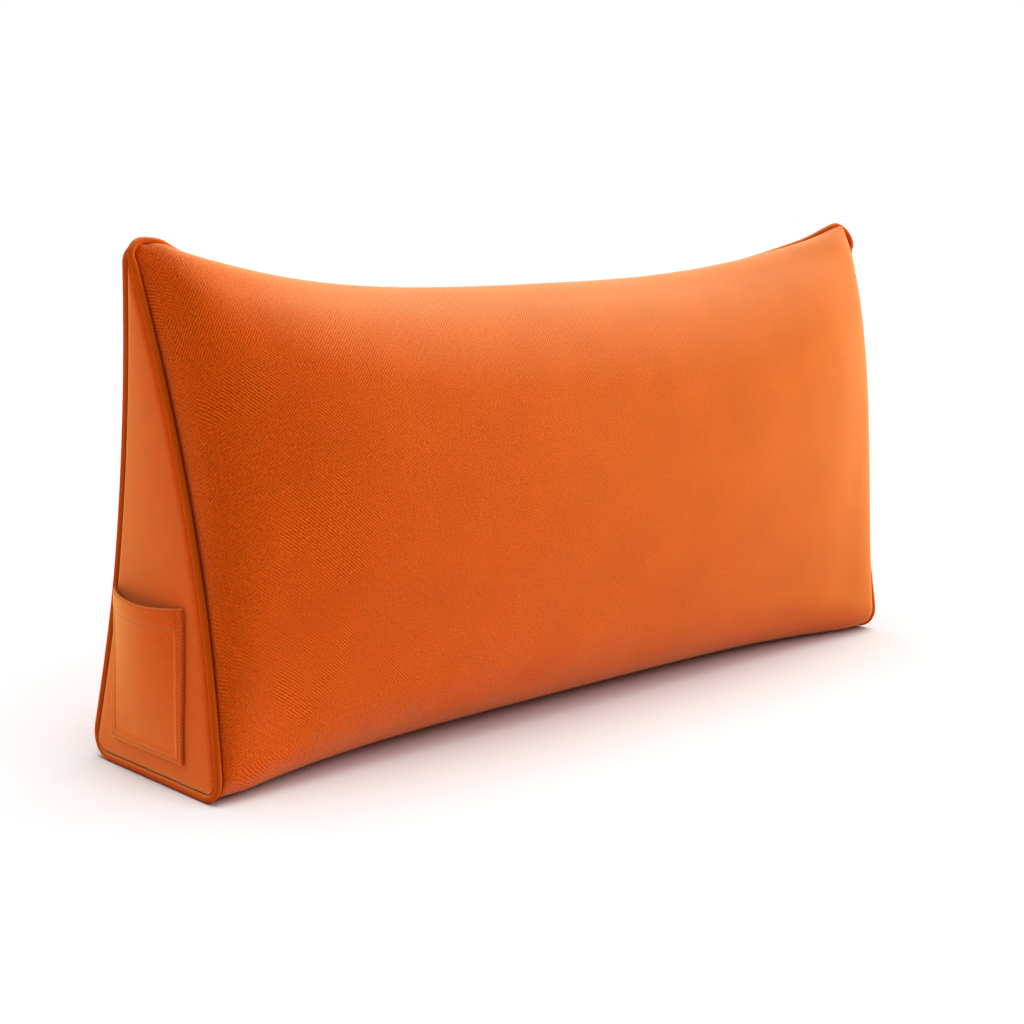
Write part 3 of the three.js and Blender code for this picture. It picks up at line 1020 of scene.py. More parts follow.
@dataclass
class FilledWrap:
    """The front, base and back of the cover in one cloth, over the filling.

    Each pair says where something sets in and where it is full, in rows from the top seam or in millimetres.
    """

    form: WedgeForm
    dome: EndDome
    rows: WrapRows = field(default_factory=WrapRows)
    folds: Sequence[Fold] = ()
    first_step: float = 0.5
    step_growth: float = 0.2
    widest_step: float = 9.5
    wall: float = 3
    edge_in: float = 3.5
    closing_shares: Sequence[float] = (1, 0.75, 0.4, 0.12)
    crease_shade_width: tuple[float, float] = (0.3, 2.4)
    crease_shade_rows: tuple[float, float] = (0.2, 1.6)
    held_rows: tuple[float, float] = (1, 5)
    held_ends: tuple[float, float] = (6, 22)
    held_floor: tuple[float, float] = (1.5, 12)
    free_rows: tuple[float, float] = (1, 12)
    free_ends: tuple[float, float] = (6, 90)
    free_floor: tuple[float, float] = (2, 90)
    facing_front: tuple[float, float] = (0.1, 0.5)
    pucker: float = 0.12
    pucker_pitch: float = 23
    pucker_in: tuple[float, float] = (5, 12)
    pucker_out: tuple[float, float] = (14, 45)
    pucker_up: tuple[float, float] = (20, 60)

    def places(self) -> np.ndarray:
        """Sections along the cushion, close together at the ends.

        Returns:
            Their places, from -1 at the left end to 1 at the right.
        """
        half = self.form.length / 2
        distances = [0.0]
        while distances[-1] < half:
            step = self.first_step + self.step_growth * distances[-1]
            distances.append(distances[-1] + min(step, self.widest_step))
        left = -1 + np.array(distances) / distances[-1]
        return np.concatenate([left, -left[-2::-1]])

    def rings(self) -> tuple[np.ndarray, np.ndarray]:
        """The rings of the mesh, from the middle of the left end to the middle of the right one.

        Returns:
            The points and their places on the flat cloth, as arrays of (ring, row, value).
        """
        form, dome = self.form, self.dome

        def ring(u: float, inset: float, inward: float) -> np.ndarray:
            """One section as points."""
            outline = section(form, u, inset, self.rows)
            x = u * (form.end_x(outline[:, 1], u) - inward)
            return np.stack([x, form.middle_y(outline[:, 1]) + outline[:, 0], outline[:, 1]], axis=1)

        def closing(end: End) -> list[np.ndarray]:
            """The rings that close an end behind its panel."""
            outline = section(form, end.value, dome.inset, self.rows)
            y, z = form.middle_y(outline[:, 1]) + outline[:, 0], outline[:, 1]
            spine = np.clip(z, dome.foot, dome.head)
            made = [ring(end.value, self.edge_in, self.edge_in)]
            for share in self.closing_shares:
                yy, zz = mix(form.middle_y(spine), y, share), mix(spine, z, share)
                made.append(np.stack([end.value * (dome.x(form, yy, zz, end) - self.wall), yy, zz], axis=1))
            return made

        sections = [ring(u, form.edge_inset, form.edge_inward) for u in self.places()]
        stack = np.array([*closing(End.LEFT)[::-1], *sections, *closing(End.RIGHT)])
        down = np.cumsum(np.linalg.norm(np.diff(stack, axis=1, prepend=stack[:, :1]), axis=2), axis=1)
        # The weave runs level with the top seam on both faces, and the base takes up the difference in girth
        half = self.rows.half
        base_share = smooth(np.arange(self.rows.all, dtype=float), half, half + self.rows.base)
        down += (down[len(stack) // 2, -1] - down[:, -1:]) * base_share
        along = np.cumsum(np.linalg.norm(np.diff(stack, axis=0, prepend=stack[:1]), axis=2), axis=0)
        return stack, np.stack([along - along[len(stack) // 2], down], axis=2)

    def from_seams(self, points: np.ndarray) -> tuple[np.ndarray, np.ndarray]:
        """How far each vertex lies from the top seam, in rows, and from the nearer end seam.

        Args:
            points: the vertices, ring by ring.

        Returns:
            The two distances.
        """
        row = np.tile(np.arange(self.rows.all, dtype=float), len(points) // self.rows.all)
        from_end = self.form.end_x(points[:, 2], End.LEFT.value) - np.abs(points[:, 0])
        return np.minimum(row, self.rows.all - 1 - row), from_end

    def held(self, points: np.ndarray) -> np.ndarray:
        """Where the seams and the floor hold the cover.

        Args:
            points: the vertices, ring by ring.

        Returns:
            For each vertex, 1 where it is held, down to 0 where it is free.
        """
        from_top, from_end = self.from_seams(points)
        loose = smooth(from_top, *self.held_rows), smooth(from_end, *self.held_ends)
        return 1 - np.minimum.reduce([*loose, smooth(points[:, 2], *self.held_floor)])

    def free(self, points: np.ndarray) -> np.ndarray:
        """How much of its swelling each vertex keeps, less towards the seams and the floor.

        Args:
            points: the vertices, ring by ring.

        Returns:
            The shares, as an array of (ring, row).
        """
        from_top, from_end = self.from_seams(points)
        share = smooth(from_top, *self.free_rows) * smooth(from_end, *self.free_ends)
        return (share * smooth(points[:, 2], *self.free_floor)).reshape(-1, self.rows.all)

    def crease_shade(self, place: np.ndarray) -> np.ndarray:
        """How much painted shade each vertex takes in the creases beside the piping.

        Args:
            place: each vertex's place on the flat cloth, as an array of (ring, row, value).

        Returns:
            The shares of painted shade, from 0 to 1.
        """
        along = place[:, :, 0]
        first = len(self.closing_shares) + 1
        from_edge = np.minimum(along - along[first], along[-1 - first] - along)
        row = np.arange(self.rows.all, dtype=float)
        beside = 1 - smooth(np.minimum(row, row[::-1]), *self.crease_shade_rows)
        return np.maximum(1 - smooth(from_edge, *self.crease_shade_width), beside).ravel()

    def drawn(self, points: np.ndarray, normals: np.ndarray) -> np.ndarray:
        """Adds the soft folds and the puckers beside the seams.

        Args:
            points: the vertices, ring by ring.
            normals: their normals.

        Returns:
            The vertices, moved.
        """
        x, _, z = points.T
        front = smooth(-normals[:, 1], *self.facing_front)
        lift = sum((fold.lift(x, z) for fold in self.folds), np.zeros(len(points))) * front
        from_end = self.from_seams(points)[1]
        beside = smooth(from_end, *self.pucker_in) * (1 - smooth(from_end, *self.pucker_out))
        lift += self.pucker * beside * wander(z, self.pucker_pitch, seed=1.0) * smooth(z, *self.pucker_up)
        return points + normals * lift[:, None]

    def build(self) -> Piece:
        """Builds the wrap and lets the filling press it out.

        Returns:
            The object.
        """
        stack, place = self.rings()
        count, size = stack.shape[:2]
        faces = [q[::-1] for q in grid_faces(count, size, closed=True)]
        faces += zipped(0, size, True) + zipped((count - 1) * size, size, False)
        points = stack.reshape(-1, 3)
        piece = make_mesh("cushion_wrap", points, faces, place.reshape(-1, 2), self.crease_shade(place))
        Inflation().run(piece, self.held(points), self.free(points))
        points = coordinates(piece.data)
        set_coordinates(piece.data, self.drawn(points, vertex_normals(piece.data)))
        subdivide(piece)
        return piece


def rim(form: WedgeForm, z: np.ndarray, inset: float, face: Face, end: End) -> np.ndarray:
    """Where an end's outline lies at heights, with the corners at its foot rounded.

    Args:
        form: the cushion's form.
        z: the heights.
        inset: how far in from the middle of the piping.
        face: the front or the back edge.
        end: the end.

    Returns:
        The places in Y.
    """
    radius = form.corner(end.value, face) - inset
    short = np.clip(1 - (z - form.cord_height - inset) / radius, 0, 1)
    drawn = radius * (1 - np.sqrt(1 - short**2))
    return form.middle_y(z) + face.value * (form.seam_half(z) - inset - drawn)


@dataclass
class EndPanel:
    """A triangular end panel, drawn tight over the filling.

    Each pair says where something sets in and where it is full, in millimetres.
    """

    form: WedgeForm
    dome: EndDome
    end: End
    rows: int = 96
    columns: int = 43
    row_growth: float = 1.25
    thick: float = 2.2
    flat_share: float = 0.51
    crease_shade_width: tuple[float, float] = (0.8, 3.2)
    pucker: float = 0.18
    pucker_pitch: float = 17
    pucker_in: tuple[float, float] = (1, 6)
    pucker_out: tuple[float, float] = (8, 30)
    pucker_up: tuple[float, float] = (30, 60)

    def build(self) -> Piece:
        """Builds the panel as a closed sheet.

        Returns:
            The object.
        """
        form, dome, sign = self.form, self.dome, self.end.value
        low, high = form.cord_height + dome.inset, dome.high(form, self.end)
        levels = low + (high - low) * np.linspace(0, 1, self.rows) ** self.row_growth
        front, back = (rim(form, levels, dome.inset, face, self.end)[:, None] for face in Face)
        y = mix(front, back, 0.5 - 0.5 * np.cos(np.linspace(0, math.pi, self.columns)))
        z = np.repeat(levels[:, None], self.columns, axis=1)
        edge = np.minimum(np.abs(y - front), np.abs(back - y))
        beside = smooth(edge, *self.pucker_in) * (1 - smooth(edge, *self.pucker_out))
        puckers = self.pucker * wander(z, self.pucker_pitch, seed=2.0) * beside * smooth(z, *self.pucker_up)
        x = dome.x(form, y, z, self.end) + puckers
        # The front edge gets no painted crease shade: the piping there lies on the cloth
        from_seam = np.minimum.reduce([z - low, high - z, np.abs(back - y)])
        crease_shade = 1 - smooth(from_seam.ravel(), *self.crease_shade_width)
        sides = [np.stack([sign * (x - depth), y, z], axis=2).reshape(-1, 3) for depth in (0, self.thick)]
        place = np.stack([y.ravel(), z.ravel()], axis=1)
        return make_mesh(
            f"end_panel_cloth_{self.end.name.lower()}",
            np.concatenate(sides),
            closed_sheet(self.rows, self.columns, turned=sign > 0),
            np.tile(place, (2, 1)),
            np.tile(crease_shade, 2),
        )


@dataclass
class SidePocket:
    """A patch pocket with a turned hem, sewn to the left end panel and standing open at its mouth.

    The leans and rises of the mouth and of its sag are powers: a lean sets where along the mouth it is
    largest, and a rise how late it sets in going up. Each pair says where something sets in and where it is
    full.
    """

    form: WedgeForm
    dome: EndDome
    front: float = -55.5
    back_low: float = 66
    back_high: float = 61
    low: float = 29
    high: float = 177
    thick: float = 2.2
    hem: float = 20
    gap: float = 0.6
    mouth_open: float = 13
    mouth_lean: float = 0.85
    mouth_round: float = 0.9
    mouth_rise: float = 1.2
    sag: float = 4
    sag_lean: float = 1.3
    sag_rise: float = 4
    turned: float = 1.3
    turned_width: tuple[float, float] = (7, 10)
    hem_fade: tuple[float, float] = (1.5, 4)
    edge_round: float = 1.5
    edge_width: float = 1.6
    lip_round: float = 1.2
    lip_width: float = 1.8
    stitch_in: float = 4.5
    stitch_top: float = 2.5
    stitch_rise: float = 0.6
    stitch_sink: float = 1.5
    hem_stitch_sink: float = 1.6
    hem_stitch_in: tuple[float, float] = (3, 8)
    furrow: float = 1.3
    line_points: int = 60
    hem_points: int = 80
    columns: int = 61
    rows: int = 71

    @property
    def width(self) -> float:
        """The pocket's width at its foot."""
        return self.back_low - self.front

    @property
    def height(self) -> float:
        """The pocket's height."""
        return self.high - self.low

    def surface(self, p: np.ndarray, q: np.ndarray, out: np.ndarray) -> np.ndarray:
        """Points of the pocket's cloth.

        Args:
            p: shares across, from the back edge to the front one.
            q: shares up, from the foot to the mouth.
            out: how far out from the cloth's inner face.

        Returns:
            The points, one a row.
        """
        sag = self.sag * np.sin(math.pi * p**self.sag_lean) * q**self.sag_rise
        z = mix(self.low, self.high, q) - sag
        y = mix(mix(self.back_low, self.back_high, q), self.front, p)
        loose = np.maximum(np.sin(math.pi * p**self.mouth_lean), 0) ** self.mouth_round
        opened = self.mouth_open * loose * q**self.mouth_rise
        x = -(self.dome.x(self.form, y, z, End.LEFT) + self.gap + opened + out)
        return np.stack([x, y, z], axis=-1)

    def puff(self, p: np.ndarray, q: np.ndarray) -> np.ndarray:
        """How thick the cloth is: doubled at the hem and at the turned edges, and drawn in by the stitches.

        Args:
            p: shares across.
            q: shares up.

        Returns:
            The thickness, in millimetres.
        """
        side = np.minimum(p, 1 - p) * self.width
        edge = np.minimum(side, q * self.height)
        from_mouth = (1 - q) * self.height
        doubled = np.minimum(smooth(edge, *self.turned_width), smooth(from_mouth - self.hem, *self.hem_fade))
        furrows = self.stitch_sink * np.exp(-(((edge - self.stitch_in) / self.furrow) ** 2))
        hem_furrow = np.exp(-(((from_mouth - self.hem) / self.furrow) ** 2))
        furrows += self.hem_stitch_sink * hem_furrow * smooth(side, *self.hem_stitch_in)
        rounded = self.edge_round * (1 - smooth(edge, 0, self.edge_width))
        rounded += self.lip_round * (1 - smooth(from_mouth, 0, self.lip_width))
        return self.thick + self.turned * (1 - doubled) - furrows - rounded

    def build(self) -> Piece:
        """Builds the pocket as a closed sheet.

        Returns:
            The object.
        """
        p, q = np.meshgrid(np.linspace(0, 1, self.columns), np.linspace(0, 1, self.rows))
        sides = [self.surface(p, q, out).reshape(-1, 3) for out in (self.puff(p, q), np.zeros_like(p))]
        faces = closed_sheet(self.rows, self.columns, turned=True)
        place = np.tile(sides[0][:, 1:], (2, 1))
        # The inner side takes the full painted crease shade, as painted shade inside the pocket
        inside = np.repeat([0.0, 1.0], p.size)
        piece = make_mesh("pocket_cloth_left", np.concatenate(sides), faces, place, inside)
        subdivide(piece)
        return piece

    def stitch_lines(self) -> list[np.ndarray]:
        """The lines that the pocket is sewn along, on the outside of its cloth.

        Returns:
            Each line's points in order.
        """
        p_in, q_in = self.stitch_in / self.width, self.stitch_in / self.height
        even = np.ones(self.line_points)
        down = np.linspace(1 - self.stitch_top / self.height, q_in, self.line_points)
        p = np.concatenate([even * p_in, np.linspace(p_in, 1 - p_in, self.line_points), even * (1 - p_in)])
        q = np.concatenate([down, even * q_in, down[::-1]])
        hem_p = np.linspace(p_in, 1 - p_in, self.hem_points)
        hem_q = np.full(self.hem_points, 1 - self.hem / self.height)
        return [self.surface(a, b, self.puff(a, b) + self.stitch_rise) for a, b in ((p, q), (hem_p, hem_q))]


@dataclass
class Stitching:
    """Rows of lockstitch, each stitch a short length of thread that dips into the cloth at both ends."""

    name: str
    pitch: float = 3.8
    length: float = 3.4
    radius: float = 0.45
    taper: float = 0.75
    stand: float = 0.25
    dip: float = 0.45
    sides: int = 6
    rings: int = 5

    def build(self, lines: Sequence[np.ndarray], out: Vector) -> Piece:
        """Builds the stitches.

        Args:
            lines: the lines that they follow.
            out: the direction away from the cloth.

        Returns:
            The object.
        """
        points, faces, dip_shade = [], [], []
        turn = 2 * math.pi * np.arange(self.sides)[:, None] / self.sides
        for line in lines:
            long = np.linalg.norm(np.diff(line, axis=0), axis=1).sum()
            knots = respaced(line, max(int(long / self.pitch), 2) + 1)
            for a, b in zip(knots, knots[1:]):
                ahead = (b - a) / np.linalg.norm(b - a)
                beside = np.cross(ahead, np.array(out))
                above = np.cross(beside, ahead)
                start = len(points)
                # Each stitch is thickest and highest in its middle
                for t in np.linspace(-1, 1, self.rings):
                    height = self.stand - self.dip * t**2
                    centre = (a + b) / 2 + ahead * t * self.length / 2 + above * height
                    radius = self.radius * math.sqrt(1 - self.taper * t**4)
                    points.extend(centre + radius * (np.cos(turn) * beside + np.sin(turn) * above))
                    # Each stitch is painted darker towards its ends, as painted shade where it dips into the
                    # cloth
                    dip_shade += [t**2] * self.sides
                faces += grid_faces(self.rings, self.sides, closed=True, start=start)
                faces.append(tuple(range(start + self.sides - 1, start - 1, -1)))
                faces.append(tuple(range(len(points) - self.sides, len(points))))
        points = np.array(points)
        return make_mesh(self.name, points, faces, points, np.array(dip_shade))


@dataclass
class PipingRun:
    """One cord covered in the same cloth, along the end seams, over the ears and along the top seam."""

    form: WedgeForm
    radius: float = 3.5
    step: float = 3.0
    sides: int = 14
    rounds: int = 2
    uneven: float = 0.012
    uneven_pitch: float = 23
    tip_taper: tuple[float, float] = (0.55, 0.88)
    tuck_turn: float = 68
    tuck_apart: float = 7
    tuck_closer: float = 0.55
    tuck_over: float = 0.6
    tip_in: float = 2.5
    tip_down: float = 2.0
    tuck_points: int = 14
    ear_points: int = 16
    corner_points: int = 12
    edge_points: int = 80

    def end_line(self, end: End) -> np.ndarray:
        """The cord's middle line round one end, from where its tip is tucked under to the start of the ear.

        Args:
            end: the end.

        Returns:
            The points in order.
        """
        form = self.form
        high = form.top_z - form.ear(end.value)
        corner = np.linspace(0, math.pi / 2, self.corner_points)
        back, front = form.corner(end.value, Face.BACK), form.corner(end.value, Face.FRONT)
        back_z = form.cord_height + back * (1 - np.sin(corner))
        front_z = form.cord_height + front * (1 - np.sin(corner[::-1]))
        down = np.linspace(high, form.cord_height + back, self.edge_points)
        up = np.linspace(form.cord_height + front, high, self.edge_points)
        edge = []
        for face, z in ((Face.BACK, down), (Face.BACK, back_z), (Face.FRONT, front_z), (Face.FRONT, up)):
            x = end.value * form.end_x(z, end.value)
            edge.append(np.stack([x, rim(form, z, 0, face, end), z], axis=1))
        return np.concatenate([self.tuck(end, edge[0][0]), *edge])

    def tuck(self, end: End, start: np.ndarray) -> np.ndarray:
        """The tip of the cord, which follows the ear behind the cord's other end and goes under it.

        Args:
            end: the end.
            start: the top of the back edge.

        Returns:
            The points in order, from the tip down.
        """
        ear = self.form.ear(end.value)
        share = np.linspace(1, 0, self.tuck_points, endpoint=False)
        turn = math.radians(self.tuck_turn) * share
        x = start[0] - end.value * (ear * (1 - np.cos(turn)) + self.tip_in * share**2)
        z = start[2] + ear * np.sin(turn) - self.tip_down * share**2
        behind = self.ear_y(end, turn) + self.tuck_apart * (1 - self.tuck_closer * share)
        y = mix(start[1], behind, smooth(share, 0, self.tuck_over))
        return np.stack([x, y, z], axis=1)

    def ear_y(self, end: End, turn: np.ndarray) -> np.ndarray:
        """Where the cord over an ear lies in Y, at angles up from the ear's outermost point."""
        form = self.form
        high = form.top_z - form.ear(end.value)
        from_y = float(form.middle_y(high) - form.seam_half(high))
        return mix(from_y, float(form.middle_y(form.top_z)), smooth(turn, 0, math.pi / 2))

    def ear_line(self, end: End) -> np.ndarray:
        """The cord's middle line over one ear, from the front edge round to the top seam.

        Args:
            end: the end.

        Returns:
            The points in order.
        """
        form = self.form
        ear = form.ear(end.value)
        centre_x = form.end_x(np.float64(form.top_z), end.value) - ear
        centre_z = form.top_z - ear
        turn = np.linspace(0, math.pi / 2, self.ear_points)[1:-1]
        x, z = end.value * (centre_x + ear * np.cos(turn)), centre_z + ear * np.sin(turn)
        return np.stack([x, self.ear_y(end, turn), z], axis=1)

    def top_line(self, places: np.ndarray) -> np.ndarray:
        """The cord's middle line along the top seam.

        Args:
            places: the sections of the wrap.

        Returns:
            The points in order.
        """
        form = self.form
        points = []
        for u in places:
            if form.from_ear(u) <= form.ear(u):
                continue
            point, normal, _ = form.seat(u, form.edge_inset)
            middle = point + normal * (form.cord_clear - form.groove_depth * form.groove_share(u))
            x = u * (form.end_x(middle[1], u) - form.edge_inward)
            points.append([x, form.middle_y(middle[1]) + middle[0], middle[1]])
        return np.array(points)

    def build(self, places: np.ndarray) -> Piece:
        """Builds the cord.

        Args:
            places: the sections of the wrap.

        Returns:
            The object.
        """
        left = [self.end_line(End.LEFT), self.ear_line(End.LEFT)]
        right = [self.ear_line(End.RIGHT)[::-1], self.end_line(End.RIGHT)[::-1]]
        line = np.concatenate([*left, self.top_line(places), *right])
        long = np.linalg.norm(np.diff(line, axis=0), axis=1).sum()
        line = respaced(line, int(long / self.step))
        for _ in range(self.rounds):
            line[1:-1] = evened(line[:-2], line[1:-1], line[2:])
        ahead = np.gradient(line, axis=0)
        ahead /= np.linalg.norm(ahead, axis=1, keepdims=True)
        side = np.cross(ahead[0], [1.0, 0, 0])
        points, place = [], []
        turn = 2 * math.pi * np.arange(self.sides) / self.sides
        for i, (middle, forward) in enumerate(zip(line, ahead)):
            side = side - forward * (side @ forward)
            side /= np.linalg.norm(side)
            other = np.cross(forward, side)
            along = np.float64(i * self.step)
            from_tip = min(i, len(line) - 1 - i)
            taper = self.tip_taper[from_tip] if from_tip < len(self.tip_taper) else 1
            uneven = self.uneven * float(wander(along, self.uneven_pitch, seed=0.7))
            radius = self.radius * taper * (1 + uneven)
            points.append(middle + radius * (np.cos(turn)[:, None] * side + np.sin(turn)[:, None] * other))
            place.append(np.stack([np.full(self.sides, along), turn * self.radius], axis=1))
        faces = [q[::-1] for q in grid_faces(len(line), self.sides, closed=True)]
        faces.append(tuple(range(self.sides)))
        last = (len(line) - 1) * self.sides
        faces.append(tuple(range(last + self.sides - 1, last - 1, -1)))
        log.info("piping: %.2f m of cord", long * MM)
        return make_mesh("piping_cord", np.concatenate(points), faces, np.concatenate(place))


def direction(azimuth: float, elevation: float) -> Vector:
    """The direction towards a light.

    Args:
        azimuth: degrees round the cushion, 0 in front of it and 90 to its right.
        elevation: degrees above the floor.

    Returns:
        The direction.
    """
    a, e = math.radians(azimuth), math.radians(elevation)
    return Vector((math.sin(a) * math.cos(e), -math.cos(a) * math.cos(e), math.sin(e)))


def hang(light: bpy.types.Light, towards: Vector, place: Vector, lit: Sequence[Piece]) -> None:
    """Puts a light in the scene.

    Args:
        light: the light.
        towards: the direction from the cushion towards it.
        place: where it hangs.
        lit: the pieces that its light falls on, where flags keep it off the rest.
    """
    lamp = bpy.data.objects.new(light.name, light)
    lamp.rotation_euler = towards.to_track_quat("Z", "Y").to_euler()
    lamp.location = place
    receivers = bpy.data.collections.new(f"{light.name}_falls_on")
    for piece in lit:
        receivers.objects.link(piece)
    lamp.light_linking.receiver_collection = receivers
    bpy.context.scene.collection.objects.link(lamp)


@dataclass(frozen=True)
class FarSoftBox:
    """A large soft light, far enough away to light evenly."""

    name: str
    azimuth: float
    elevation: float
    strength: float
    spread: float = 50
    kept_off: str | None = None

    def build(self, lit: Sequence[Piece]) -> None:
        """Puts the light in the scene.

        Args:
            lit: the pieces that its light falls on.
        """
        light = bpy.data.lights.new(self.name, "SUN")
        light.energy = math.pi * self.strength
        light.angle = math.radians(self.spread)
        # A flag keeps it off the end that it would fall full on
        falls_on = [piece for piece in lit if piece.name != self.kept_off]
        hang(light, direction(self.azimuth, self.elevation), Vector(), falls_on)


@dataclass(frozen=True)
class NearSoftBox:
    """A square soft light close by, whose light falls off along the cushion."""

    name: str
    azimuth: float
    elevation: float
    distance: float
    strength: float
    width: float = 1.0
    aim_height: float = 0.25

    def build(self, lit: Sequence[Piece]) -> None:
        """Puts the light in the scene.

        Args:
            lit: the pieces that its light falls on.
        """
        light = bpy.data.lights.new(self.name, "AREA")
        light.shape = "SQUARE"
        light.size = self.width
        light.energy = math.pi**2 * self.distance**2 * self.strength
        towards = direction(self.azimuth, self.elevation)
        hang(light, towards, Vector((0, 0, self.aim_height)) + towards * self.distance, lit)


@dataclass(frozen=True)
class PhotoCamera:
    """The photograph's camera, from a fit of the cushion's outline, seams and corners."""

    focal_pixels: float = 1868.5
    frame_pixels: float = 1024
    sensor: float = 36
    azimuth: float = 44.0
    pitch: float = 10.74
    roll: float = 0.895
    place: tuple[float, float, float] = (-1430.8, -1415.7, 580.9)

    def build(self) -> None:
        """Puts the camera in the scene and makes it the one that renders."""
        a, e, r = (math.radians(v) for v in (self.azimuth, self.pitch, self.roll))
        ahead = Vector((math.cos(e) * math.sin(a), math.cos(e) * math.cos(a), -math.sin(e)))
        level = Vector((math.cos(a), -math.sin(a), 0))
        above = level.cross(ahead)
        right = math.cos(r) * level + math.sin(r) * above
        up = math.cos(r) * above - math.sin(r) * level
        data = bpy.data.cameras.new("photo_camera")
        data.sensor_width = self.sensor
        data.lens = self.focal_pixels / self.frame_pixels * self.sensor
        camera = bpy.data.objects.new("photo_camera", data)
        turned = Matrix((right, up, -ahead)).transposed().to_4x4()
        camera.matrix_world = Matrix.Translation(Vector(self.place) * MM) @ turned
        bpy.context.scene.collection.objects.link(camera)
        bpy.context.scene.camera = camera


@dataclass
class Studio:
    """A white paper floor between white walls, under soft boxes.

    Flags keep the light of each box on the cushion or on the paper.
    """

    floor_half: float = 14
    wall_top: float = 6.5
    wall_fade: float = 4
    wall_light: float = 1.0
    upper_light: float = 0.02
    cushion_boxes: Sequence[FarSoftBox | NearSoftBox] = (
        FarSoftBox("overhead_box", 0, 88, 0.057),
        FarSoftBox("rear_box", 180, 22, 0.319),
        FarSoftBox("rear_left_box", 225, 50, 0.495),
        FarSoftBox("front_right_box", 45, 22, 0.25),
        FarSoftBox("right_box", 90, 22, 1.31, kept_off="end_panel_cloth_right"),
        FarSoftBox("right_high_box", 90, 50, 0.132),
        NearSoftBox("near_rear_right_box", 120, 30, 1.5, 0.62),
        NearSoftBox("near_front_right_box", 45, 22, 1.7, 0.34),
        NearSoftBox("near_right_box", 90, 22, 1.6, 0.077),
    )
    paper_boxes: Sequence[FarSoftBox] = (
        FarSoftBox("paper_overhead_box", 0, 88, 0.65),
        FarSoftBox("paper_sky_box", 0, 88, 0.166, spread=120),
        FarSoftBox("paper_front_box", 0, 50, 0.33),
        FarSoftBox("paper_rear_box", 180, 22, 0.107),
        FarSoftBox("paper_right_box", 90, 22, 0.109),
    )

    def walls(self) -> bpy.types.World:
        """Builds the white walls, a bright band round the horizon.

        Returns:
            The world.
        """
        world = bpy.data.worlds.new("white_walls")
        world.use_nodes = True
        world.node_tree.nodes.clear()
        node = partial(add_node, world.node_tree)
        towards = node("ShaderNodeTexCoord").outputs["Generated"]
        above = node("ShaderNodeSeparateXYZ", {0: towards}).outputs["Z"]
        low, high = (math.sin(math.radians(v)) for v in (self.wall_top, self.wall_top + self.wall_fade))
        fade = {"Value": above, "From Min": low, "From Max": high}
        fade |= {"To Min": self.wall_light, "To Max": self.upper_light}
        strength = node("ShaderNodeMapRange", fade).outputs[0]
        light = node("ShaderNodeBackground", {"Color": (1, 1, 1, 1), "Strength": strength})
        node("ShaderNodeOutputWorld", {"Surface": light.outputs[0]})
        return world

    def build(self, cushion: Sequence[Piece]) -> None:
        """Puts the floor, the lights and the camera in the scene.

        Args:
            cushion: the cushion's pieces.
        """
        scene = bpy.context.scene
        corner = self.floor_half / MM
        points = corner * np.array([(-1, -1, 0), (1, -1, 0), (1, 1, 0), (-1, 1, 0)])
        floor = make_mesh("paper_floor", points, [(0, 1, 2, 3)], points[:, :2])
        floor.data.materials.append(StudioPaper().material())
        scene.world = self.walls()
        scene.view_settings.view_transform = "Standard"
        for box in self.cushion_boxes:
            box.build(cushion)
        for box in self.paper_boxes:
            box.build([floor])
        PhotoCamera().build()


FRONT_FOLDS = (
    Fold((243, 459), (196, 430), 11, 1.0),
    Fold((308, 463), (332, 444), 11, 0.8),
    Fold((350, 469), (376, 448), 11, 0.8),
    Fold((395, 483), (420, 460), 11, 0.9),
    Fold((400, 76), (350, 38), 12, -1.0),
)


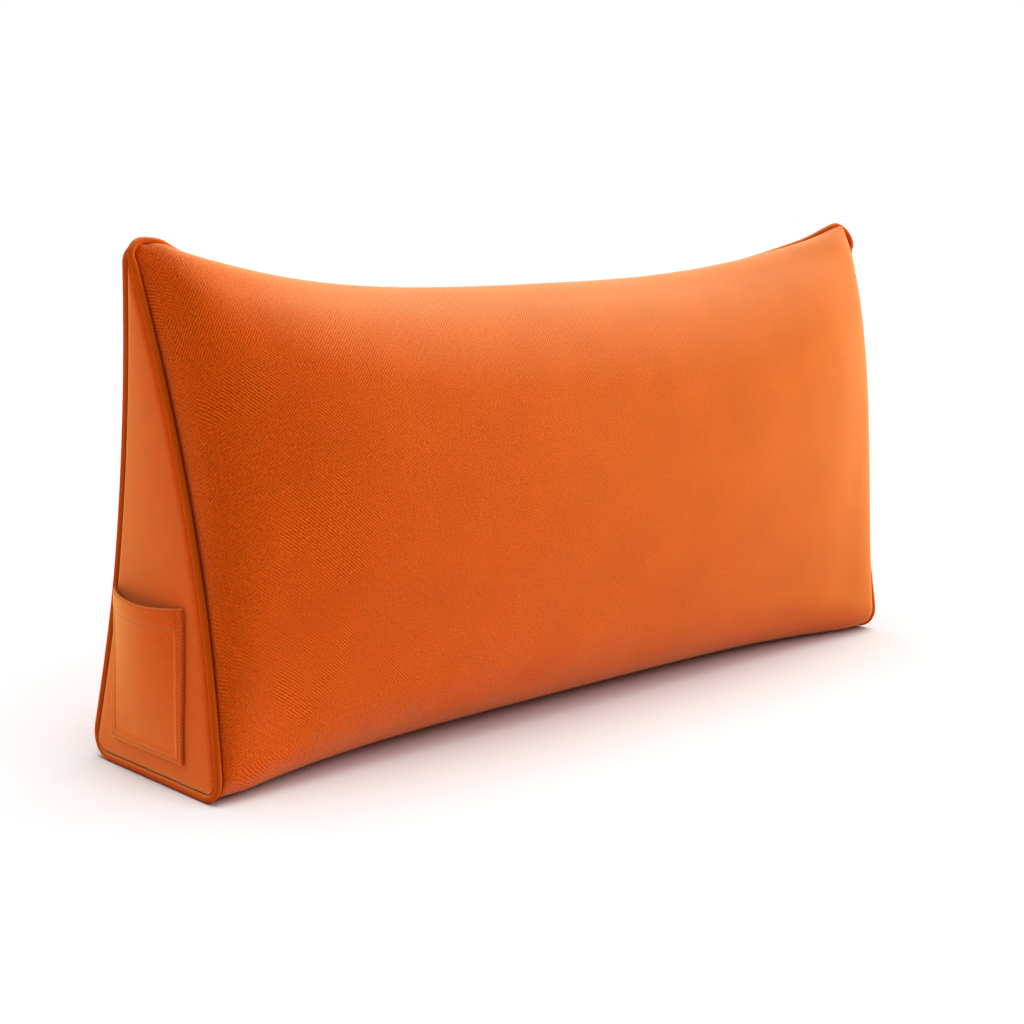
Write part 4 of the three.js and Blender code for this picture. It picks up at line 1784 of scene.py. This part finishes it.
@dataclass
class Cushion:
    """The whole cushion: builds each piece, places it in the frame, and dresses it."""

    form: WedgeForm = field(default_factory=WedgeForm)
    dome: EndDome = field(default_factory=EndDome)
    wrap_velvet: ShortPileVelvet = ShortPileVelvet("short_pile_velvet_wrap")
    thread: SpunThread = SpunThread()
    end_velvet: ShortPileVelvet = ShortPileVelvet(
        "short_pile_velvet_ends", pile="d64500", right_lit_tone="d64500", under="d64500", bloom="ffcd77",
        sheen=0.95, rib_contrast=0.3, rib_depth=0.35, nap_size=18, nap_contrast=0.04,
    )
    piping_velvet: ShortPileVelvet = ShortPileVelvet(
        "short_pile_velvet_bias_binding", pile="c44c08", right_lit_tone="c44c08", crown="e08048", bloom="ff9c50",
        sheen=0.12, rib_contrast=0.3, rib_depth=0.4, rib_pitch=1.8, rib_least=0.6,
    )
    pocket_velvet: ShortPileVelvet = ShortPileVelvet(
        "short_pile_velvet_pocket", pile="d74800", right_lit_tone="d74800", under="d74800", bloom="ffcd77",
        sheen=0.95, rib_contrast=0.35, rib_depth=0.4, nap_size=14, nap_contrast=0.04,
    )

    def settle(self, piece: Piece, shift: float, finish: Any, slot: str, *nodes: str) -> None:
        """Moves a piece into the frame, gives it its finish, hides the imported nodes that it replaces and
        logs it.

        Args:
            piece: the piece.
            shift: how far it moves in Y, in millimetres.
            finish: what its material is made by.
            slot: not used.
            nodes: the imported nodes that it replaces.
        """
        piece.data.transform(Matrix.Translation((0, shift * MM, 0)))
        piece.data.materials.append(finish.material())
        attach(piece, BODY)
        if nodes:
            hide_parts(*nodes)
        log.info("%s: %d faces, finish %s", piece.name, len(piece.data.polygons), finish.name)

    def build(self) -> list[Piece]:
        """Builds every piece.

        Returns:
            The pieces.
        """
        maker = FilledWrap(self.form, self.dome, folds=FRONT_FOLDS)
        stack, _ = maker.rings()
        low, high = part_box("cushion_body")
        shift = (low.y + high.y) / 2 / MM - (stack[:, :, 1].min() + stack[:, :, 1].max()) / 2
        log.info("the frame lies %.2f mm from the form in Y", shift)
        wrap = maker.build()
        self.settle(wrap, shift, self.wrap_velvet, "wrap_velvet", "cushion_body")
        panels = {}
        for end in End:
            panel_maker = EndPanel(self.form, self.dome, end)
            panel = panel_maker.build()
            self.settle(panel, shift, self.end_velvet, "end_velvet", f"end_panel_{end.name.lower()}")
            panels[end] = panel
        cord = PipingRun(self.form).build(maker.places())
        self.settle(cord, shift, self.piping_velvet, "piping_velvet", "piping")
        pocket = SidePocket(self.form, self.dome)
        cloth = pocket.build()
        self.settle(cloth, shift, self.pocket_velvet, "pocket_velvet", "pocket_left")
        stitches = Stitching("pocket_stitching").build(pocket.stitch_lines(), Vector((-1, 0, 0)))
        self.settle(stitches, shift, self.thread, "pocket_velvet")
        return [wrap, *panels.values(), cord, cloth, stitches]


def main() -> None:
    """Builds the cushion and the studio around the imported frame."""
    logging.basicConfig(level=logging.INFO, format="%(name)s: %(message)s")
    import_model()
    pieces = Cushion().build()
    Studio().build(pieces)


if __name__ == "__main__":
    main()
